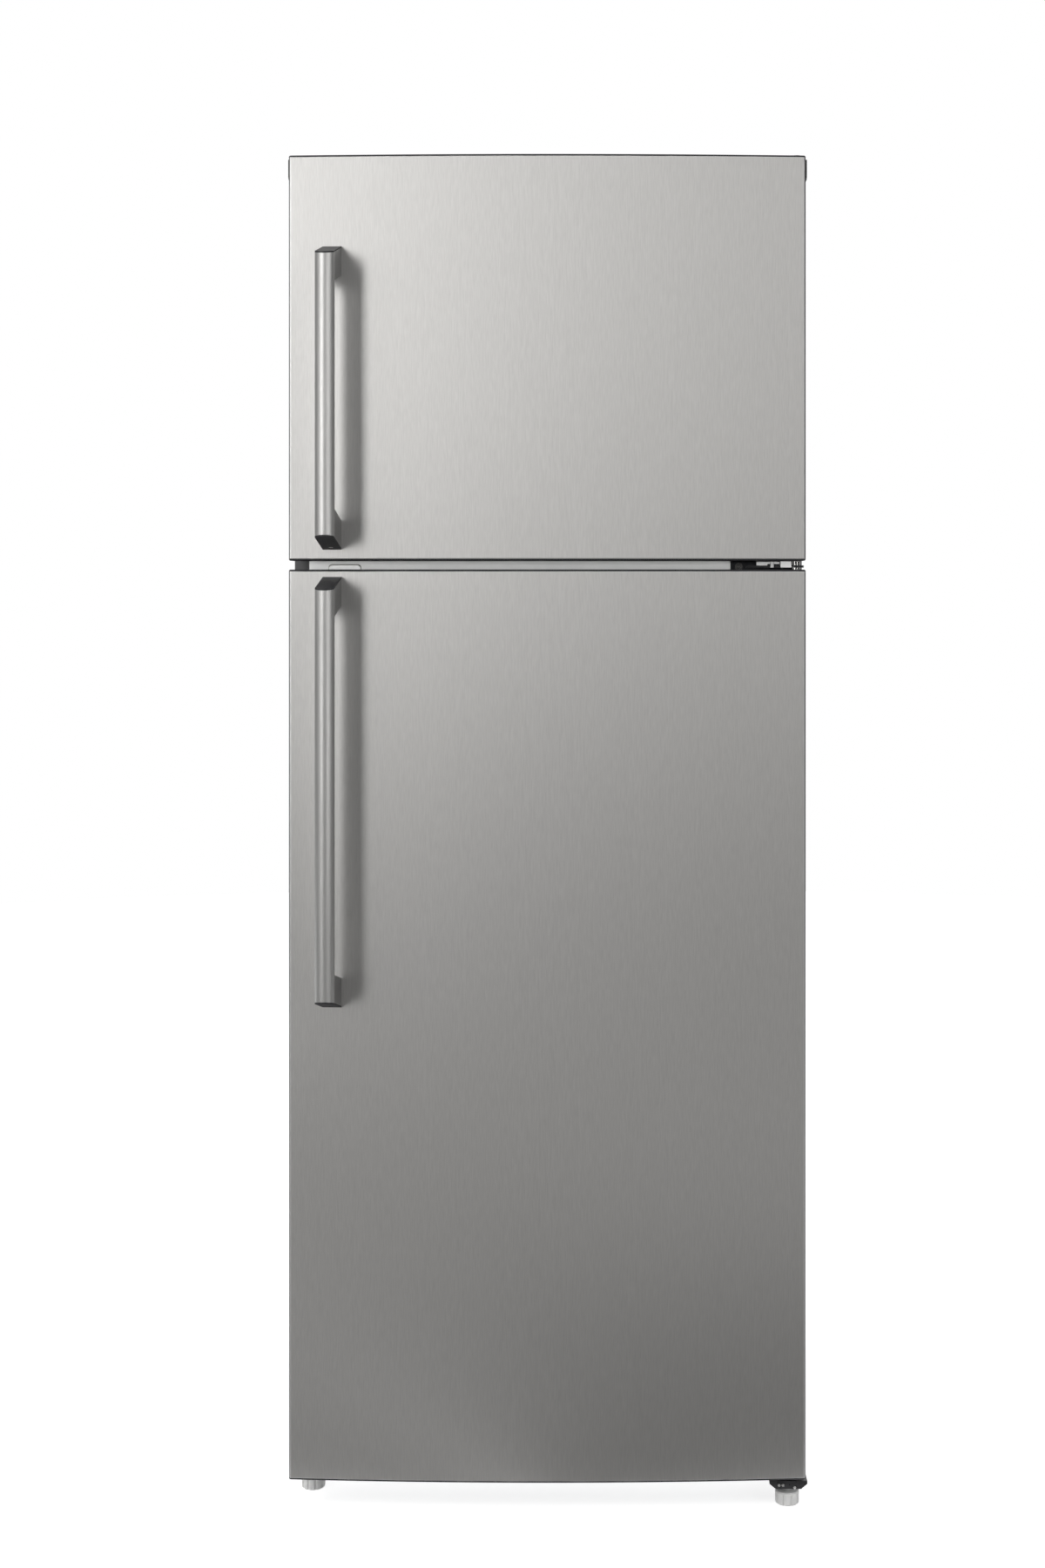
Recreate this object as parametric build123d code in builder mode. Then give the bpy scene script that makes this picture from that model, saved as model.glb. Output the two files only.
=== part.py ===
from build123d import *
from math import asin, atan, cos, degrees, sin, sqrt
import os

# A top-freezer refrigerator with two bowed steel doors, in millimetres.
# The front faces -Y, +X is on the right of someone facing it, the floor is Z = 0.

# Doors
door_width = 700.0
door_bow = 11.5
skin_depth = 47.0
lower_door_height = 1231.5
upper_door_height = 548.5
door_gap = 12.0
door_clearance = 42.0
steel_sheet = 1.0
skin_corner = 3.6
skin_edge = 0.8
skin_return = 15.0
cap_rim = 2.4
cap_plug = 12.0
cap_edge = 2.2
skirt_drop = 29.0
skirt_proud = 3.3
skirt_front = 20.0
skirt_length = 24.0
skirt_chamfer = 4.0

# Inner side of the doors
liner_sheet = 2.0
liner_margin = 3.0
liner_corner = 12.0
dike_width = 42.0
dike_depth = 75.0
dike_round = 10.0
dike_clearance = 9.0
rack_wall = 2.5
rack_depth = 92.0
rack_corner = 14.0
rack_back_drop = 0.45
lug_height = 8.0
lug_reach = 7.0
lug_depth = 62.0
upper_racks = ((40.0, 84.0), (235.0, 84.0))
lower_racks = ((24.0, 120.0), (420.0, 96.0), (800.0, 84.0))

# Door seals
seal_depth = 13.0
seal_inset = 14.0
seal_width = 18.0
seal_base = 3.0
seal_neck = 8.0
seal_head = 14.0
seal_head_depth = 5.0
seal_corner = 10.0

# Handles
handle_inset = 59.3
handle_width = 25.4
handle_reach = 65.0
handle_crown = 6.0
bar_depth = 13.0
handle_bevel = 15.0
post_height = 39.5
handle_cap = 2.0
upper_handle_rise = 14.8
upper_handle_length = 410.0
lower_handle_drop = 9.9
lower_handle_length = 581.6
handle_screw_radius = 3.6
handle_screw_depth = 3.0
handle_screw_from_door = 9.0

# Cabinet
case_depth = 595.0
case_flange = 20.0
case_corner = 5.0
side_wall = 48.0
roof_wall = 52.0
floor_wall = 70.0
mullion_half = 20.0
mullion_lip = 12.0
base_height = 40.0
base_sheet = 2.0
sill_height = 40.0
freezer_back_wall = 95.0
fridge_back_wall = 55.0
liner_round = 14.0
bay_height = 225.0
bay_depth = 190.0
bay_roof = 48.0
bay_wall = 41.0
bay_cheek = 20.0
back_rib_width = 60.0
back_rib_rise = 2.0
back_rib_count = 4

# Hinges
hinge_inset = 11.0
hinge_setback = 30.0
hinge_plate = 3.0
hinge_tip = 11.0
hinge_run = 0.8
pin_radius = 4.0
pin_length = 12.0
collar_radius = 6.0
bush_radius = 7.0
bush_fit = 0.2
top_hinge_width = 62.0
top_hinge_depth = 72.0
hinge_cover_height = 12.0
hinge_cover_wall = 1.8
hinge_cover_round = 4.0
middle_hinge_width = 93.0
middle_hinge_height = 34.0
middle_screw_inset = 11.4
middle_screw_offsets = (-1.3, 10.7)
bottom_hinge_width = 51.5
bottom_hinge_depth = 70.0
bottom_hinge_lip = 11.0
bottom_hinge_drop = 7.0
bottom_hinge_front = 14.0
web_gap = 1.0
lip_slant = 8.5
lip_slant_height = 7.0
rivet_radius = 2.0
rivet_height = 1.4
rivet_rise = 5.6
rivet_places = (13.0, 18.4)
low_rivet_inset = 3.0
low_rivet_rise = 2.4
screw_head_radius = 5.2
screw_flange = 1.0
screw_pan_radius = 3.4
screw_pan_height = 2.2
screw_radius = 2.4
recess_width = 1.0
recess_length = 4.0
recess_depth = 1.4
screw_fit = 0.15
stop_reach = 53.0
stop_block = 14.6
stop_strip = 3.2
stop_height = 5.2
stop_depth = 13.0
stop_post = 2.5
stop_post_place = 20.8
stop_post_setback = 3.0
stop_hook = 1.8
stop_clearance = 1.2
stop_ribs = 3
stop_rib = 1.0

# Plug over the spare hinge holes
plug_width = 44.0
plug_height = 16.0
plug_proud = 0.6
plug_corner = 5.0
plug_gap = 0.8
plug_inset = 47.0
plug_drop = 6.7

# Feet and rollers
foot_radius = 16.25
foot_height = 17.6
foot_notches = 10
foot_notch_radius = 2.2
foot_edge = 1.6
foot_neck = 2.6
stud_radius = 5.0
foot_inset = 23.0
left_foot_setback = 22.0
roller_radius = 18.0
roller_width = 22.0
roller_inset = 55.0
roller_from_back = 60.0
axle_radius = 3.0
ear_sheet = 3.0
ear_width = 26.0

# Shelves, drawer and inner fittings
ledge_reach = 8.0
ledge_height = 6.0
glass_thick = 4.0
glass_fit = 0.6
shelf_front = 125.0
shelf_back_gap = 40.0
fridge_shelf_rises = (433.0, 658.0, 873.0)
crisper_cover_rise = 208.0
freezer_shelf_rise = 236.0
trim_height = 12.0
trim_depth = 14.0
trim_lap = 8.0
crisper_wall = 2.5
crisper_corner = 18.0
crisper_head_room = 14.0
crisper_travel = 40.0
crisper_grip = 14.0
crisper_grip_drop = 16.0
crisper_side_gap = 5.0
run_gap = 0.4
duct_cover_sheet = 3.0
duct_cover_from_back = 98.0
fan_radius = 52.0
fan_hub_radius = 16.0
fan_hub_depth = 16.0
fan_blades = 5
fan_blade_sheet = 1.6
fan_blade_chord = 34.0
fan_pitch_root = 42.0
fan_pitch_tip = 24.0
fan_gap = 40.0
fan_motor_radius = 26.0
fan_motor_depth = 42.0
fan_shaft_radius = 2.5
grille_slot_width = 6.0
grille_slot_count = 16
grille_inner = 22.0
grille_outer = 50.0
return_slot_count = 11
return_slot_pitch = 46.0
return_slot_height = 40.0
return_slot_width = 8.0
evaporator_width = 470.0
evaporator_height = 190.0
evaporator_depth = 60.0
evaporator_lift = 60.0
fin_count = 17
fin_sheet = 1.0
tube_radius = 4.0
air_duct_width = 170.0
air_duct_depth = 22.0
air_duct_wall = 2.0
air_duct_lift = 47.0
air_duct_round = 8.0
vent_width = 46.0
vent_height = 8.0
vent_lift = 60.0
control_width = 250.0
control_depth = 150.0
control_height = 46.0
control_setback = 5.0
control_round = 6.0
control_wall = 2.5
knob_radius = 17.0
knob_depth = 12.0
knob_grip = 5.0
knob_x = 55.0
lamp_width = 120.0
lamp_depth = 70.0
lamp_height = 6.0
switch_x = -85.0
switch_radius = 4.5
switch_body = 12.0
switch_travel = 6.0

# Machine compartment
compressor_radius = 82.0
compressor_height = 165.0
compressor_dome = 45.0
compressor_x = 150.0
compressor_foot = 150.0
compressor_foot_sheet = 3.0
grommet_radius = 11.0
grommet_height = 14.0
grommet_span = 120.0
tray_width = 230.0
tray_depth = 130.0
tray_height = 36.0
tray_wall = 2.0
tray_x = -150.0
cover_sheet = 1.5
cover_slot_width = 8.0
cover_slot_height = 56.0
cover_slot_columns = 16
cover_slot_rows = 2
cover_slot_pitch = 32.0
cover_row_pitch = 80.0
gland_radius = 9.0
gland_step = 2.0
gland_bore = 4.5
gland_depth = 8.0
gland_inset = 29.0
gland_height = 30.0

# Places that follow from the sizes above
half_door = door_width / 2
handle_x = handle_inset - half_door
hinge_x = half_door - hinge_inset
bow_radius = (half_door**2 + door_bow**2) / (2 * door_bow)
handle_turn = asin(handle_x / bow_radius)
handle_rise = sqrt(bow_radius**2 - handle_x**2) - (bow_radius - door_bow)
crown_radius = ((handle_width / 2) ** 2 + handle_crown**2) / (2 * handle_crown)
front_reach = handle_rise + (handle_reach - crown_radius) * cos(handle_turn) + crown_radius
overall_depth = front_reach + skin_depth + liner_sheet + seal_depth + case_depth

edge_y = front_reach - overall_depth / 2
skin_back = edge_y + skin_depth
door_back = skin_back + liner_sheet
case_front = door_back + seal_depth
case_back = case_front + case_depth
hinge_y = edge_y + hinge_setback
handle_y = edge_y - handle_rise
bar_back = handle_reach - bar_depth
bar_side = handle_reach - handle_crown
bevel_turn = atan(handle_bevel / bar_side)

lower_z0 = door_clearance
lower_z1 = lower_z0 + lower_door_height
upper_z0 = lower_z1 + door_gap
upper_z1 = upper_z0 + upper_door_height
mullion_z = (lower_z1 + upper_z0) / 2
case_top = upper_z1 + hinge_run
base_top = base_height + base_sheet

cavity_half = half_door - side_wall
freezer_z0 = mullion_z + mullion_half + mullion_lip
freezer_z1 = case_top - roof_wall
fridge_z0 = base_top + floor_wall
fridge_z1 = mullion_z - mullion_half - mullion_lip
freezer_back = case_back - freezer_back_wall
fridge_back = case_back - fridge_back_wall
bay_top = base_height + bay_height
bay_front = case_back - bay_depth
bay_half = half_door - steel_sheet - bay_cheek
step_z = bay_top + bay_roof
step_y = bay_front - bay_wall
fridge_shelf_heights = [fridge_z0 + rise for rise in fridge_shelf_rises]
crisper_cover_height = fridge_z0 + crisper_cover_rise
freezer_shelf_height = freezer_z0 + freezer_shelf_rise
dike_outer = cavity_half - dike_clearance
dike_inner = dike_outer - dike_width
shelf_y0 = case_front + shelf_front
duct_cover_y = freezer_back - duct_cover_from_back
evaporator_z0 = freezer_z0 + evaporator_lift
fan_height = evaporator_z0 + evaporator_height + fan_gap + fan_radius


def at_y(y):
    """Upright plane facing the front, at depth y."""
    return Plane.XZ.offset(-y)


def block(x0, x1, y0, y1, z0, z1, mode=Mode.ADD):
    """A box given by its six faces, in the part being built."""
    with Locations(((x0 + x1) / 2, (y0 + y1) / 2, (z0 + z1) / 2)):
        Box(x1 - x0, y1 - y0, z1 - z0, mode=mode)


def save(piece, name):
    """Label a finished piece and write its file."""
    piece.part.label = name
    export_step(piece.part, f"parts/{name}.step")


def door_plan(z, inset, back):
    """Plan of a door at height z, drawn in by inset and closed off at depth back."""
    half = half_door - inset
    front = edge_y + inset
    with BuildSketch(Plane.XY.offset(z)) as plan:
        with BuildLine():
            ThreePointArc((-half, front), (0, front - door_bow), (half, front))
            Polyline((half, front), (half, back), (-half, back), (-half, front))
        make_face()
        fillet(plan.vertices().group_by(Axis.Y)[0], radius=skin_corner - inset)
    return plan.sketch


def dike_form(side, z0, z1, inset):
    """Raised ridge on the inside of a door, drawn in by inset on every side."""
    width = dike_width - 2 * inset
    with BuildPart() as form:
        with BuildSketch(at_y(skin_back)):
            with Locations((side * (dike_outer + dike_inner) / 2, (z0 + z1) / 2)):
                RectangleRounded(width, z1 - z0 - 2 * inset, dike_round - inset)
        extrude(amount=-(liner_sheet + dike_depth - inset))
        fillet(form.faces().sort_by(Axis.Y)[-1].edges(), radius=dike_round - inset)
    return form.part


def handle_plane(z):
    """Plane square to the door's surface under a handle, its own -Y pointing out."""
    across = (cos(handle_turn), sin(handle_turn), 0)
    return Plane(origin=(handle_x, handle_y, z), x_dir=across, z_dir=(0, 0, 1))


def handle_section(z, start):
    """Section of a handle from start, measured off the door, out to its rounded crown."""
    half = handle_width / 2
    with BuildSketch(handle_plane(z)) as section:
        with BuildLine():
            Polyline((-half, -bar_side), (-half, -start), (half, -start), (half, -bar_side))
            ThreePointArc((half, -bar_side), (0, -handle_reach), (-half, -bar_side))
        make_face()
    return section.sketch


def post_section(z):
    """Section of a handle post, from the door to the back of the bar."""
    with BuildSketch(handle_plane(z)) as section:
        with Locations((0, -bar_back / 2)):
            Rectangle(handle_width, bar_back)
    return section.sketch


def bevel_plane(z, up):
    """Slanted end of a handle that meets the door at height z."""
    out = sin(bevel_turn)
    lean = (out * sin(handle_turn), -out * cos(handle_turn), up * cos(bevel_turn))
    return Plane(origin=(handle_x, handle_y, z), z_dir=lean)


def handle_slice(section, z_outer, z_inner, up):
    """Slice of a handle section between two parallel bevel planes."""
    spare = 2 * handle_bevel
    low = min(z_outer, z_inner) - spare
    high = max(z_outer, z_inner) + spare
    with BuildPart() as piece:
        extrude(section(low), amount=high - low)
        split(bisect_by=bevel_plane(z_outer, up), keep=Keep.BOTTOM)
        split(bisect_by=bevel_plane(z_inner, up), keep=Keep.TOP)
    return piece.part


def make_door_shell(name, z0, z1, skirts):
    """Steel skin, end caps, foam and hinge bushes of one door."""
    with BuildPart() as skin:
        height = z1 - z0 - 2 * cap_rim
        extrude(door_plan(z0 + cap_rim, 0, skin_back), amount=height)
        ends = skin.faces().filter_by(Plane.XY)
        fillet(ends.edges(), radius=skin_edge)
        hollow = door_plan(z0 + cap_rim, steel_sheet, skin_back - steel_sheet)
        extrude(hollow, amount=height, mode=Mode.SUBTRACT)
        opening = half_door - skin_return
        block(-opening, opening, skin_back - 2 * steel_sheet, skin_back, z0, z1, Mode.SUBTRACT)
    save(skin, f"{name}_skin")

    for end, face, inward in (("top", z1, -1), ("bottom", z0, 1)):
        with BuildPart() as cap:
            extrude(door_plan(face, 0, skin_back), amount=inward * cap_rim)
            fillet(cap.faces().sort_by(Axis.Z, reverse=inward < 0)[0].edges(), radius=cap_edge)
            plug_gap = steel_sheet + bush_fit
            plug = door_plan(face + inward * cap_rim, plug_gap, skin_back - plug_gap)
            extrude(plug, amount=inward * cap_plug)
            if skirts and end == "top":
                with BuildSketch(Plane.YZ.offset(half_door)):
                    with BuildLine():
                        y0 = edge_y + skirt_front
                        y1 = y0 + skirt_length
                        low = face - skirt_drop
                        Polyline(
                            (y0, face - cap_edge),
                            (y1, face - cap_edge),
                            (y1, low),
                            (y0 + skirt_chamfer, low),
                            (y0, low + skirt_chamfer),
                            close=True,
                        )
                    make_face()
                skirt = extrude(amount=skirt_proud)
                mirror(skirt, about=Plane.YZ)
            with Locations((hinge_x, hinge_y, face)):
                Cylinder(bush_radius, 2 * (cap_rim + cap_plug) + 1, mode=Mode.SUBTRACT)
        save(cap, f"{name}_{end}_cap")

    with BuildPart() as bushes:
        bush_height = cap_rim + cap_plug
        with Locations((hinge_x, hinge_y, z0 + bush_height / 2), (hinge_x, hinge_y, z1 - bush_height / 2)):
            Cylinder(bush_radius, bush_height)
            Cylinder(pin_radius + bush_fit, bush_height, mode=Mode.SUBTRACT)
    save(bushes, f"{name}_hinge_bushes")


def make_door_inside(name, z0, z1, dike_z0, dike_z1, racks):
    """Foam core, moulded inner liner, racks and seal of one door."""
    core_z0 = z0 + cap_rim + cap_plug
    core_z1 = z1 - cap_rim - cap_plug
    with BuildPart() as foam:
        core = door_plan(core_z0, steel_sheet, skin_back - steel_sheet)
        extrude(core, amount=core_z1 - core_z0)
        opening = half_door - skin_return
        block(-opening, opening, skin_back - steel_sheet, skin_back, core_z0, core_z1)
        for side in (-1, 1):
            add(dike_form(side, dike_z0, dike_z1, liner_sheet))
    save(foam, f"{name}_foam")

    with BuildPart() as liner:
        with BuildSketch(at_y(skin_back)):
            with Locations((0, (z0 + z1) / 2)):
                RectangleRounded(door_width - 2 * liner_margin, z1 - z0 - 2 * liner_margin, liner_corner)
        extrude(amount=-liner_sheet)
        for side in (-1, 1):
            add(dike_form(side, dike_z0, dike_z1, 0))
        for side in (-1, 1):
            add(dike_form(side, dike_z0, dike_z1, liner_sheet), mode=Mode.SUBTRACT)
        lug_x = dike_inner - lug_reach / 2
        lug_y = door_back + lug_depth / 2
        for rack_z, _ in racks:
            lug_z = dike_z0 + rack_z - lug_height / 2
            with Locations((-lug_x, lug_y, lug_z), (lug_x, lug_y, lug_z)):
                Box(lug_reach, lug_depth, lug_height)
    save(liner, f"{name}_liner")

    with BuildPart() as trays:
        rack_width = 2 * (dike_inner - run_gap)
        rack_y = door_back + run_gap + rack_depth / 2
        for rack_z, rack_height in racks:
            floor = dike_z0 + rack_z
            with BuildSketch(Plane.XY.offset(floor)) as outline:
                with Locations((0, rack_y)):
                    Rectangle(rack_width, rack_depth)
                fillet(outline.vertices().group_by(Axis.Y)[-1], radius=rack_corner)
            extrude(amount=rack_height)
            with BuildSketch(Plane.XY.offset(floor + rack_wall)) as inside:
                with Locations((0, rack_y)):
                    Rectangle(rack_width - 2 * rack_wall, rack_depth - 2 * rack_wall)
                fillet(inside.vertices().group_by(Axis.Y)[-1], radius=rack_corner - rack_wall)
            extrude(amount=rack_height, mode=Mode.SUBTRACT)
            with BuildSketch(Plane.YZ):
                with BuildLine():
                    back = door_back
                    low = floor + rack_height * (1 - rack_back_drop)
                    Polyline(
                        (back, low),
                        (back + rack_depth * (1 - rack_back_drop), low),
                        (back + rack_depth - rack_corner, floor + rack_height),
                        (back, floor + rack_height),
                        close=True,
                    )
                make_face()
            extrude(amount=rack_width, both=True, mode=Mode.SUBTRACT)
    save(trays, f"{name}_racks")

    with BuildPart() as gasket:
        neck_depth = seal_depth - run_gap - seal_base - seal_head_depth
        y = door_back
        for width, depth in ((seal_width, seal_base), (seal_neck, neck_depth), (seal_head, seal_head_depth)):
            spread = (seal_width - width) / 2
            outer_x = door_width - 2 * (seal_inset + spread)
            outer_z = z1 - z0 - 2 * (seal_inset + spread)
            with BuildSketch(at_y(y)):
                with Locations((0, (z0 + z1) / 2)):
                    RectangleRounded(outer_x, outer_z, seal_corner)
                    Rectangle(outer_x - 2 * width, outer_z - 2 * width, mode=Mode.SUBTRACT)
            extrude(amount=-depth)
            y += depth
    save(gasket, f"{name}_gasket")


def make_handle(name, z_low, z_high):
    """Crowned bar, two slanted posts, two dark end caps and the fixing screw of one handle."""
    with BuildPart() as bar:
        extrude(handle_section(z_low, bar_back), amount=z_high - z_low)
        split(bisect_by=bevel_plane(z_high - handle_cap, 1), keep=Keep.BOTTOM)
        split(bisect_by=bevel_plane(z_low + handle_cap, -1), keep=Keep.BOTTOM)
    save(bar, f"{name}_handle_bar")

    with BuildPart() as posts:
        add(handle_slice(post_section, z_high - handle_cap, z_high - post_height, 1))
        add(handle_slice(post_section, z_low + handle_cap, z_low + post_height, -1))
        screw_hole(z_low, handle_screw_radius)
    save(posts, f"{name}_handle_posts")

    with BuildPart() as caps:
        add(handle_slice(full_section, z_high, z_high - handle_cap, 1))
        add(handle_slice(full_section, z_low, z_low + handle_cap, -1))
        screw_hole(z_low, handle_screw_radius)
    save(caps, f"{name}_handle_caps")

    with BuildPart(screw_plane(z_low)) as screw:
        Cylinder(handle_screw_radius, handle_screw_depth, align=(Align.CENTER, Align.CENTER, Align.MAX))
    save(screw, f"{name}_handle_screw")


def full_section(z):
    """Section of a handle end, from the door to the crown."""
    return handle_section(z, 0)


def screw_plane(z_low):
    """Plane of the fixing screw in a handle's lower end, a little inside the end cap."""
    end = bevel_plane(z_low, -1)
    out = Vector(sin(handle_turn), -cos(handle_turn), 0) * handle_screw_from_door
    rise = Vector(0, 0, handle_screw_from_door * handle_bevel / bar_side)
    return Plane(origin=end.origin + out + rise, z_dir=end.z_dir).offset(-run_gap)


def screw_hole(z_low, radius):
    """Hole for the fixing screw, in the part being built."""
    with Locations(screw_plane(z_low)):
        Cylinder(radius, 2 * handle_screw_depth, mode=Mode.SUBTRACT)


os.makedirs("parts", exist_ok=True)

# The two doors
make_door_shell("upper_door", upper_z0, upper_z1, True)
make_door_shell("lower_door", lower_z0, lower_z1, False)
make_door_inside(
    "upper_door", upper_z0, upper_z1, freezer_z0 + dike_clearance, freezer_z1 - dike_clearance, upper_racks
)
make_door_inside(
    "lower_door", lower_z0, lower_z1, fridge_z0 + dike_clearance, fridge_z1 - dike_clearance, lower_racks
)
upper_handle_low = upper_z0 + upper_handle_rise
lower_handle_high = lower_z1 - lower_handle_drop
make_handle("upper", upper_handle_low, upper_handle_low + upper_handle_length)
make_handle("lower", lower_handle_high - lower_handle_length, lower_handle_high)

# Outer case: folded steel roof and sides with a flange turned in round the front
with BuildPart() as outer_case:
    with BuildSketch(at_y(case_front)) as outside:
        with Locations((0, base_height)):
            Rectangle(door_width, case_top - base_height, align=(Align.CENTER, Align.MIN))
        fillet(outside.vertices().group_by(Axis.Y)[-1], radius=case_corner)
    extrude(amount=-case_depth)
    with BuildSketch(at_y(case_front + steel_sheet)) as inside:
        with Locations((0, base_height)):
            Rectangle(
                door_width - 2 * steel_sheet,
                case_top - steel_sheet - base_height,
                align=(Align.CENTER, Align.MIN),
            )
        fillet(inside.vertices().group_by(Axis.Y)[-1], radius=case_corner - steel_sheet)
    extrude(amount=-case_depth, mode=Mode.SUBTRACT)
    flange_x = half_door - case_flange
    flange_z = case_top - case_flange
    flange_y = case_front + steel_sheet
    block(-flange_x, flange_x, case_front, flange_y, base_height, flange_z, Mode.SUBTRACT)
save(outer_case, "outer_case")

# Base plate: floor pan with an upturned sill, roller ears and the hole of the left foot
left_foot = (-(half_door - foot_inset), case_front + left_foot_setback)
right_foot = (half_door - foot_inset, hinge_y)
roller_y = case_back - roller_from_back
pan_half = half_door - steel_sheet - run_gap
sill_half = half_door - case_flange
pan_front = case_front + steel_sheet
with BuildPart() as base_plate:
    block(-pan_half, pan_half, pan_front, case_back - cover_sheet - run_gap, base_height, base_top)
    block(-sill_half, sill_half, case_front, pan_front, base_height, base_height + sill_height)
    for side in (-1, 1):
        for ear in (-1, 1):
            ear_x = side * (half_door - roller_inset) + ear * (roller_width / 2 + ear_sheet / 2 + run_gap)
            with BuildSketch(Plane.YZ.offset(ear_x - ear_sheet / 2)):
                with Locations((roller_y, roller_radius)):
                    Circle(ear_width / 2)
                    Rectangle(ear_width, base_height - roller_radius, align=(Align.CENTER, Align.MIN))
                    Circle(axle_radius, mode=Mode.SUBTRACT)
            extrude(amount=ear_sheet)
    with Locations((left_foot[0], left_foot[1], base_height)):
        Cylinder(stud_radius + run_gap, 4 * base_sheet, mode=Mode.SUBTRACT)
save(base_plate, "base_plate")

with BuildPart() as roller_axles:
    axle_length = roller_width + 2 * (ear_sheet + run_gap)
    with Locations(*[(side * (half_door - roller_inset), roller_y, roller_radius) for side in (-1, 1)]):
        Cylinder(axle_radius, axle_length, rotation=(0, 90, 0))
save(roller_axles, "roller_axles")

for side, place in ((-1, "left"), (1, "right")):
    with BuildPart() as roller:
        with Locations((side * (half_door - roller_inset), roller_y, roller_radius)):
            Cylinder(roller_radius, roller_width, rotation=(0, 90, 0))
        chamfer(roller.edges().filter_by(GeomType.CIRCLE), length=axle_radius / 2)
        with Locations((side * (half_door - roller_inset), roller_y, roller_radius)):
            Cylinder(axle_radius + bush_fit, roller_width, rotation=(0, 90, 0), mode=Mode.SUBTRACT)
    save(roller, f"rear_roller_{place}")

# Front feet: fluted knobs on threaded studs
stud_tops = {"left": base_top - run_gap, "right": lower_z0 - bottom_hinge_drop}
for place, (foot_x, foot_y) in (("left", left_foot), ("right", right_foot)):
    with BuildPart() as foot:
        with Locations((foot_x, foot_y, 0)):
            Cylinder(foot_radius, foot_height, align=(Align.CENTER, Align.CENTER, Align.MIN))
        chamfer(foot.edges().filter_by(GeomType.CIRCLE), length=foot_edge)
        with BuildSketch(Plane.XY.offset(foot_height - foot_neck)):
            with Locations((foot_x, foot_y)):
                with PolarLocations(foot_radius, foot_notches, start_angle=180 / foot_notches - 90):
                    Circle(foot_notch_radius)
        extrude(amount=foot_neck - foot_height, mode=Mode.SUBTRACT)
        with BuildSketch(Plane.XY.offset(foot_height)):
            with Locations((foot_x, foot_y)):
                Circle(stud_radius)
        extrude(amount=stud_tops[place] - foot_height)
    save(foot, f"front_foot_{place}")


def fridge_profile(spare):
    """Side view of the fridge compartment, stepped over the machine compartment, grown by spare."""
    with BuildSketch(Plane.YZ) as profile:
        with BuildLine():
            Polyline(
                (case_front, fridge_z0 - spare),
                (case_front, fridge_z1 + spare),
                (fridge_back + spare, fridge_z1 + spare),
                (fridge_back + spare, step_z - spare),
                (step_y + spare, step_z - spare),
                (step_y + spare, fridge_z0 - spare),
                close=True,
            )
        make_face()
    return profile.sketch


# Insulation: one foamed block round both compartments, stepped over the machine compartment
liner_half = cavity_half + liner_sheet
foam_front = case_front + steel_sheet
foam_back = case_back - back_rib_rise - steel_sheet
with BuildPart() as insulation_foam:
    with BuildSketch(at_y(foam_front)) as wall:
        with Locations((0, base_top)):
            Rectangle(
                door_width - 2 * steel_sheet,
                case_top - steel_sheet - base_top,
                align=(Align.CENTER, Align.MIN),
            )
        fillet(wall.vertices().group_by(Axis.Y)[-1], radius=case_corner - steel_sheet)
    extrude(amount=-(foam_back - foam_front))
    block(-bay_half, bay_half, bay_front, case_back, base_height, bay_top, Mode.SUBTRACT)
    block(
        -liner_half,
        liner_half,
        case_front,
        freezer_back + liner_sheet,
        freezer_z0 - liner_sheet,
        freezer_z1 + liner_sheet,
        Mode.SUBTRACT,
    )
    extrude(fridge_profile(liner_sheet), amount=liner_half, both=True, mode=Mode.SUBTRACT)
save(insulation_foam, "insulation_foam")


def ledges(heights, back):
    """Rails on both side walls that carry glass at the given heights, in the part being built."""
    for height in heights:
        for side in (-1, 1):
            inner = side * (cavity_half - ledge_reach)
            outer = side * cavity_half
            block(min(inner, outer), max(inner, outer), shelf_y0, back, height - ledge_height, height)


def front_lip(z_low, z_high, open_low, open_high):
    """Flat lip of a liner between its opening and the steel flange, in the part being built."""
    with BuildSketch(at_y(case_front)) as lip:
        with Locations((0, (z_low + z_high) / 2)):
            Rectangle(2 * (half_door - case_flange), z_high - z_low)
        with Locations((0, (open_low + open_high) / 2)):
            Rectangle(2 * cavity_half, open_high - open_low, mode=Mode.SUBTRACT)
    extrude(lip.sketch, amount=-steel_sheet)


# Freezer liner: moulded box with rounded corners and rails for one shelf
with BuildPart() as freezer_liner:
    block(
        -liner_half,
        liner_half,
        case_front,
        freezer_back + liner_sheet,
        freezer_z0 - liner_sheet,
        freezer_z1 + liner_sheet,
    )
    with BuildSketch(at_y(case_front)):
        with Locations((0, (freezer_z0 + freezer_z1) / 2)):
            RectangleRounded(2 * cavity_half, freezer_z1 - freezer_z0, liner_round)
    extrude(amount=case_front - freezer_back, mode=Mode.SUBTRACT)
    ledges((freezer_shelf_height,), duct_cover_y - run_gap)
    front_lip(mullion_z + mullion_half, case_top - case_flange, freezer_z0, freezer_z1)
save(freezer_liner, "freezer_liner")

# Fridge liner: the same, stepped at the foot of its back
shelf_back = fridge_back - shelf_back_gap
with BuildPart() as fridge_liner:
    extrude(fridge_profile(liner_sheet), amount=liner_half, both=True)
    extrude(fridge_profile(0), amount=cavity_half, both=True, mode=Mode.SUBTRACT)
    ledges(fridge_shelf_heights, shelf_back)
    ledges((crisper_cover_height,), step_y)
    front_lip(base_height + sill_height, mullion_z - mullion_half, fridge_z0, fridge_z1)
save(fridge_liner, "fridge_liner")

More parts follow.
